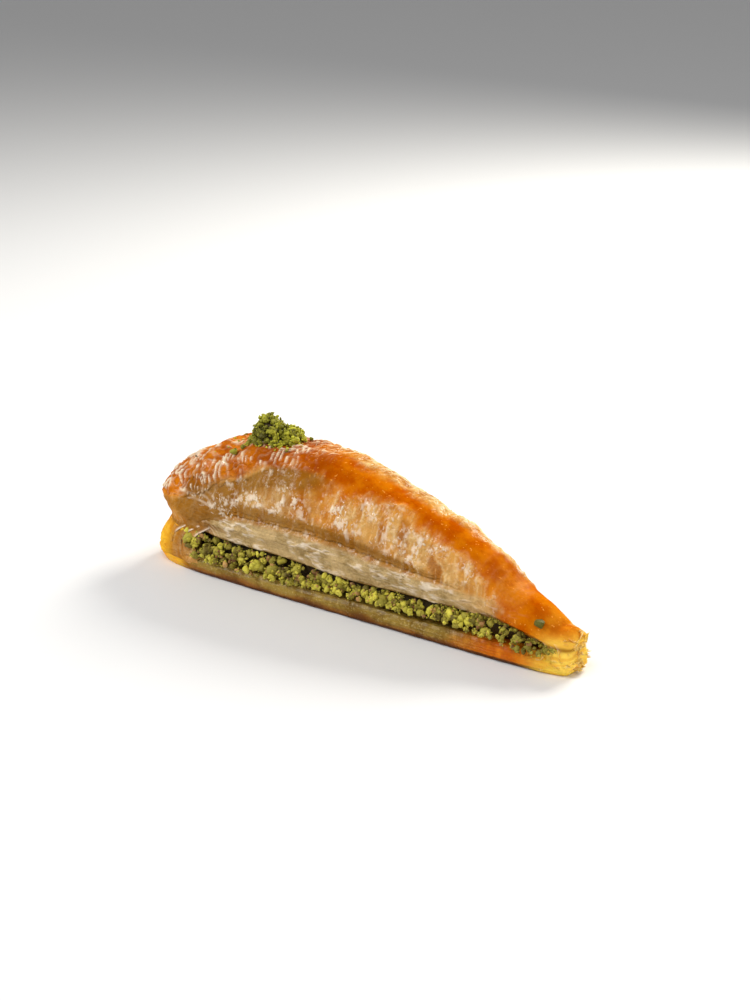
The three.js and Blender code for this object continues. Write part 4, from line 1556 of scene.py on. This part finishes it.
print("zones over the pale sheets:", [zone for zone, _, _ in ZONE_COLORS], "and the golden ends")

# %% Ridges, shadows and light
SHADE_COVER = 0.78  # how much of the colour the deepest shadow covers
HIGHLIGHT_COVER = 0.84  # and the brightest painted highlight
RIM_COVER = 0.9  # and the light through a rim


def ridged_color(tree, color, speckle, not_crest):
    """Ridges are painted paler, a painted highlight along the crinkles, least on the crust. Painted
    shade darkens the colour where the shade share is high.
    """
    # Painted highlight: the crinkles' ridges are mixed towards pale cream.
    paler = math_node(tree, "POWER", attribute(tree, "ridge"), 1.8)
    paler = math_node(tree, "MULTIPLY", paler, range_node(tree, speckle, 0.25, 0.6))
    browner = range_node(tree, attribute(tree, "crust"), 0, 1, 0.7, 0.2)
    paler = math_node(tree, "MULTIPLY", math_node(tree, "MULTIPLY", paler, not_crest), browner)
    color = mix_node(tree, paler, color, srgb(250, 222, 166))
    # Painted shade: the shade share mixes in a dark brown.
    darker = math_node(tree, "MULTIPLY", attribute(tree, "shade"), SHADE_COVER)
    return mix_node(tree, darker, color, srgb(136, 88, 20))


def lit_color(tree, color, coordinates, bright):
    """Painted highlights, a painted glow where light shines through a backlit rim, and blisters on
    the crest.
    """
    # Painted highlight: glints, band glints and crust strokes are mixed towards near white.
    mark = mix_node(tree, attribute(tree, "crust"), srgb(254, 236, 212), srgb(255, 238, 206))
    color = mix_node(tree, math_node(tree, "MULTIPLY", bright, HIGHLIGHT_COVER), color, mark)
    # Painted glow: near the outline of backlit parts the colour turns pale cream.
    rim = tree.nodes.new("ShaderNodeLayerWeight")
    rim.inputs["Blend"].default_value = 0.5
    rim_share = range_node(tree, rim.outputs["Facing"], 0.6, 0.97)
    rim_share = math_node(tree, "MULTIPLY", rim_share, attribute(tree, "backlit"))
    rim_share = math_node(tree, "MULTIPLY", rim_share, RIM_COVER)
    color = mix_node(tree, rim_share, color, srgb(255, 230, 184))
    blisters = noise_node(tree, coordinates, 1100, detail=1.0, roughness=0.4)
    blisters = range_node(tree, blisters, 0.67, 0.76, 0, 0.5)
    blistered = math_node(tree, "MULTIPLY", blisters, attribute(tree, "crest"))
    return mix_node(tree, blistered, color, srgb(250, 170, 70))


print("marks cover", HIGHLIGHT_COVER, "of the colour and shadows", SHADE_COVER)


# %% Browned sheets
def pastry_material(name, weight, gloss):
    """Baked sheets. weight is how much light gets in, and gloss how wet the painted highlights look.
    """
    material, tree, shader, coordinates = new_material(name)
    smoother = math_node(tree, "MULTIPLY", attribute(tree, "crest"), 0.75)
    relief = math_node(tree, "SUBTRACT", 1.0, smoother)
    glinting = all_glints(tree, coordinates)
    look = dict(distance=0.0004, strength=0.8, fine=0.3)
    crinkled = add_crinkle(tree, shader, coordinates, **look, relief=relief, extra=glinting)
    not_crest = math_node(tree, "SUBTRACT", 1.0, attribute(tree, "crest"), True)
    softer = range_node(tree, attribute(tree, "band"), 0, 1, 1, 0.75)
    # Painted highlights: the brightest of the glints and the crust strokes.
    bright = math_node(tree, "MAXIMUM", glinting, attribute(tree, "highlight_and_pale_edge"))
    bright = math_node(tree, "MULTIPLY", bright, softer)
    color = baked_color(tree, coordinates, crinkled["Mottle"])
    color = ridged_color(tree, color, crinkled["Speckle"], not_crest)
    color = lit_color(tree, color, coordinates, bright)
    rough = range_node(tree, crinkled["Speckle"], 0.3, 0.7, 0.36, 0.6)
    wet = range_node(tree, bright, 0.2, 0.9, 0.15 * gloss, 0.8 * gloss)
    wet = math_node(tree, "MULTIPLY", wet, range_node(tree, attribute(tree, "ends"), 0, 1, 1, 0.5))
    tree.links.new(color, shader.inputs["Base Color"])
    tree.links.new(rough, shader.inputs["Roughness"])
    tree.links.new(math_node(tree, "MULTIPLY", not_crest, wet), shader.inputs["Coat Weight"])
    set_inputs(
        shader,
        Specular_IOR_Level=0.0,
        Subsurface_Weight=weight,
        Subsurface_Radius=(1.0, 0.6, 0.2),
        Subsurface_Scale=0.0015,
        Coat_Roughness=0.09,
    )
    return material


browned = pastry_material("browned_sheets", weight=0.12, gloss=1.0)
thin = pastry_material("thin_sheets", weight=0.0, gloss=0.5)
upper.data.materials.append(browned)
thin_pieces = (crust_strip, fold_strip, band_strip, wrap, flake_piece)
for piece in thin_pieces:
    piece.data.materials.append(thin)
print("browned sheets:", len(browned.node_tree.nodes), "nodes")

# %% [markdown]
# ## Syrup-soaked sheets
#
# The low stack drank the syrup, so it is olive and amber instead of brown, hardly wrinkled, and
# light goes deeper into it. A single colour with a coat would look like plastic. So two shades
# are mixed in blotches, a dark foot and golden ends come from the attributes, and a strong
# subsurface share softens them.

# %% Syrupy sheets
syrupy, tree, shader, coordinates = new_material("syrupy_sheets")
crinkled = add_crinkle(tree, shader, coordinates, distance=0.0002, strength=0.5, fine=0.5)
blotch = range_node(tree, crinkled["Mottle"], 0.36, 0.64)
khaki = mix_node(tree, blotch, srgb(158, 130, 56), srgb(124, 94, 30))
# Painted highlights: pale specks, small glints on the wet sheets.
specks = range_node(tree, crinkled["Speckle"], 0.52, 0.68, 0, 0.5)
khaki = mix_node(tree, specks, khaki, srgb(204, 176, 110))
amber = mix_node(tree, blotch, srgb(146, 92, 30), srgb(104, 60, 14))
warm = mix_node(tree, blotch, srgb(222, 128, 16), srgb(192, 94, 4))
golden = mix_node(tree, blotch, srgb(252, 194, 36), srgb(244, 162, 18))
golden = mix_node(tree, attribute(tree, "tipward"), golden, srgb(254, 208, 74))
color = mix_node(tree, attribute(tree, "amber"), khaki, amber)
color = mix_node(tree, attribute(tree, "tipward"), color, warm)
color = mix_node(tree, attribute(tree, "foot"), color, srgb(84, 44, 10))
color = mix_node(tree, attribute(tree, "ends"), color, golden)
color = mix_node(tree, level_sheets(tree, coordinates), color, srgb(230, 150, 36))
tree.links.new(color, shader.inputs["Base Color"])
set_inputs(
    shader,
    Roughness=0.4,
    Specular_IOR_Level=0.05,
    Subsurface_Weight=0.35,
    Subsurface_Radius=(1.0, 0.65, 0.2),
    Subsurface_Scale=0.002,
    Coat_Weight=0.12,
    Coat_Roughness=0.2,
)
lower.data.materials.append(syrupy)
print("syrupy sheets:", len(tree.nodes), "nodes")

# %% [markdown]
# ## Pistachio
#
# Chopped pistachio is dull and moist: yellow-green flesh, olive where it faces away, with brown
# skins between. Hundreds of materials would be one way to vary it. Here each bit carries one
# number, its tone, and the finish mixes a light and a dark green by it. The two greens stand partly
# for the flesh's own colours and partly for painted highlight and painted shade.


# %% Pistachio
def nut_material(name, light, dark, deep):
    """Nut flesh: each bit has its own tone, with darker blotches from noise."""
    material, tree, shader, coordinates = new_material(name)
    crinkled = add_crinkle(tree, shader, coordinates, distance=0.0002, strength=0.8, fine=0.8)
    color = mix_node(tree, attribute(tree, "tone"), dark, light)
    color = mix_node(tree, range_node(tree, crinkled["Mottle"], 0.52, 0.72), color, deep)
    tree.links.new(color, shader.inputs["Base Color"])
    set_inputs(
        shader,
        Roughness=0.6,
        Specular_IOR_Level=0.3,
        Subsurface_Weight=0.12,
        Subsurface_Radius=(0.8, 1.0, 0.2),
        Subsurface_Scale=0.001,
    )
    return material


# The light and dark greens are partly painted highlight and painted shade, mixed by each bit's random
# tone.
green = nut_material("pistachio_green", srgb(220, 208, 76), srgb(108, 94, 24), srgb(92, 74, 20))
skins = nut_material("pistachio_skins", srgb(206, 160, 92), srgb(128, 84, 50), srgb(84, 54, 40))
# Painted shade: the core and the heap's body take these darkest colours, for the shade between the
# bits.
core_dark = nut_material("pistachio_core", srgb(84, 66, 24), srgb(70, 54, 18), srgb(50, 36, 10))
powder = nut_material("pistachio_powder", srgb(202, 198, 54), srgb(74, 68, 14), srgb(60, 52, 10))
for piece, material in zip(filling, (core_dark, green, skins, green, skins, green)):
    piece.data.materials.append(material)
for piece in (*heap[1:], *strays):
    piece.data.materials.append(powder)
heap_body.data.materials.append(core_dark)
print("materials:", [material.name for material in bpy.data.materials])

# %% [markdown]
# ## One body
#
# Every piece moves with the slice's one body.

# %% Ride with the body
for piece in (upper, lower, *thin_pieces, *filling, *heap, *strays):
    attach(piece, "root")
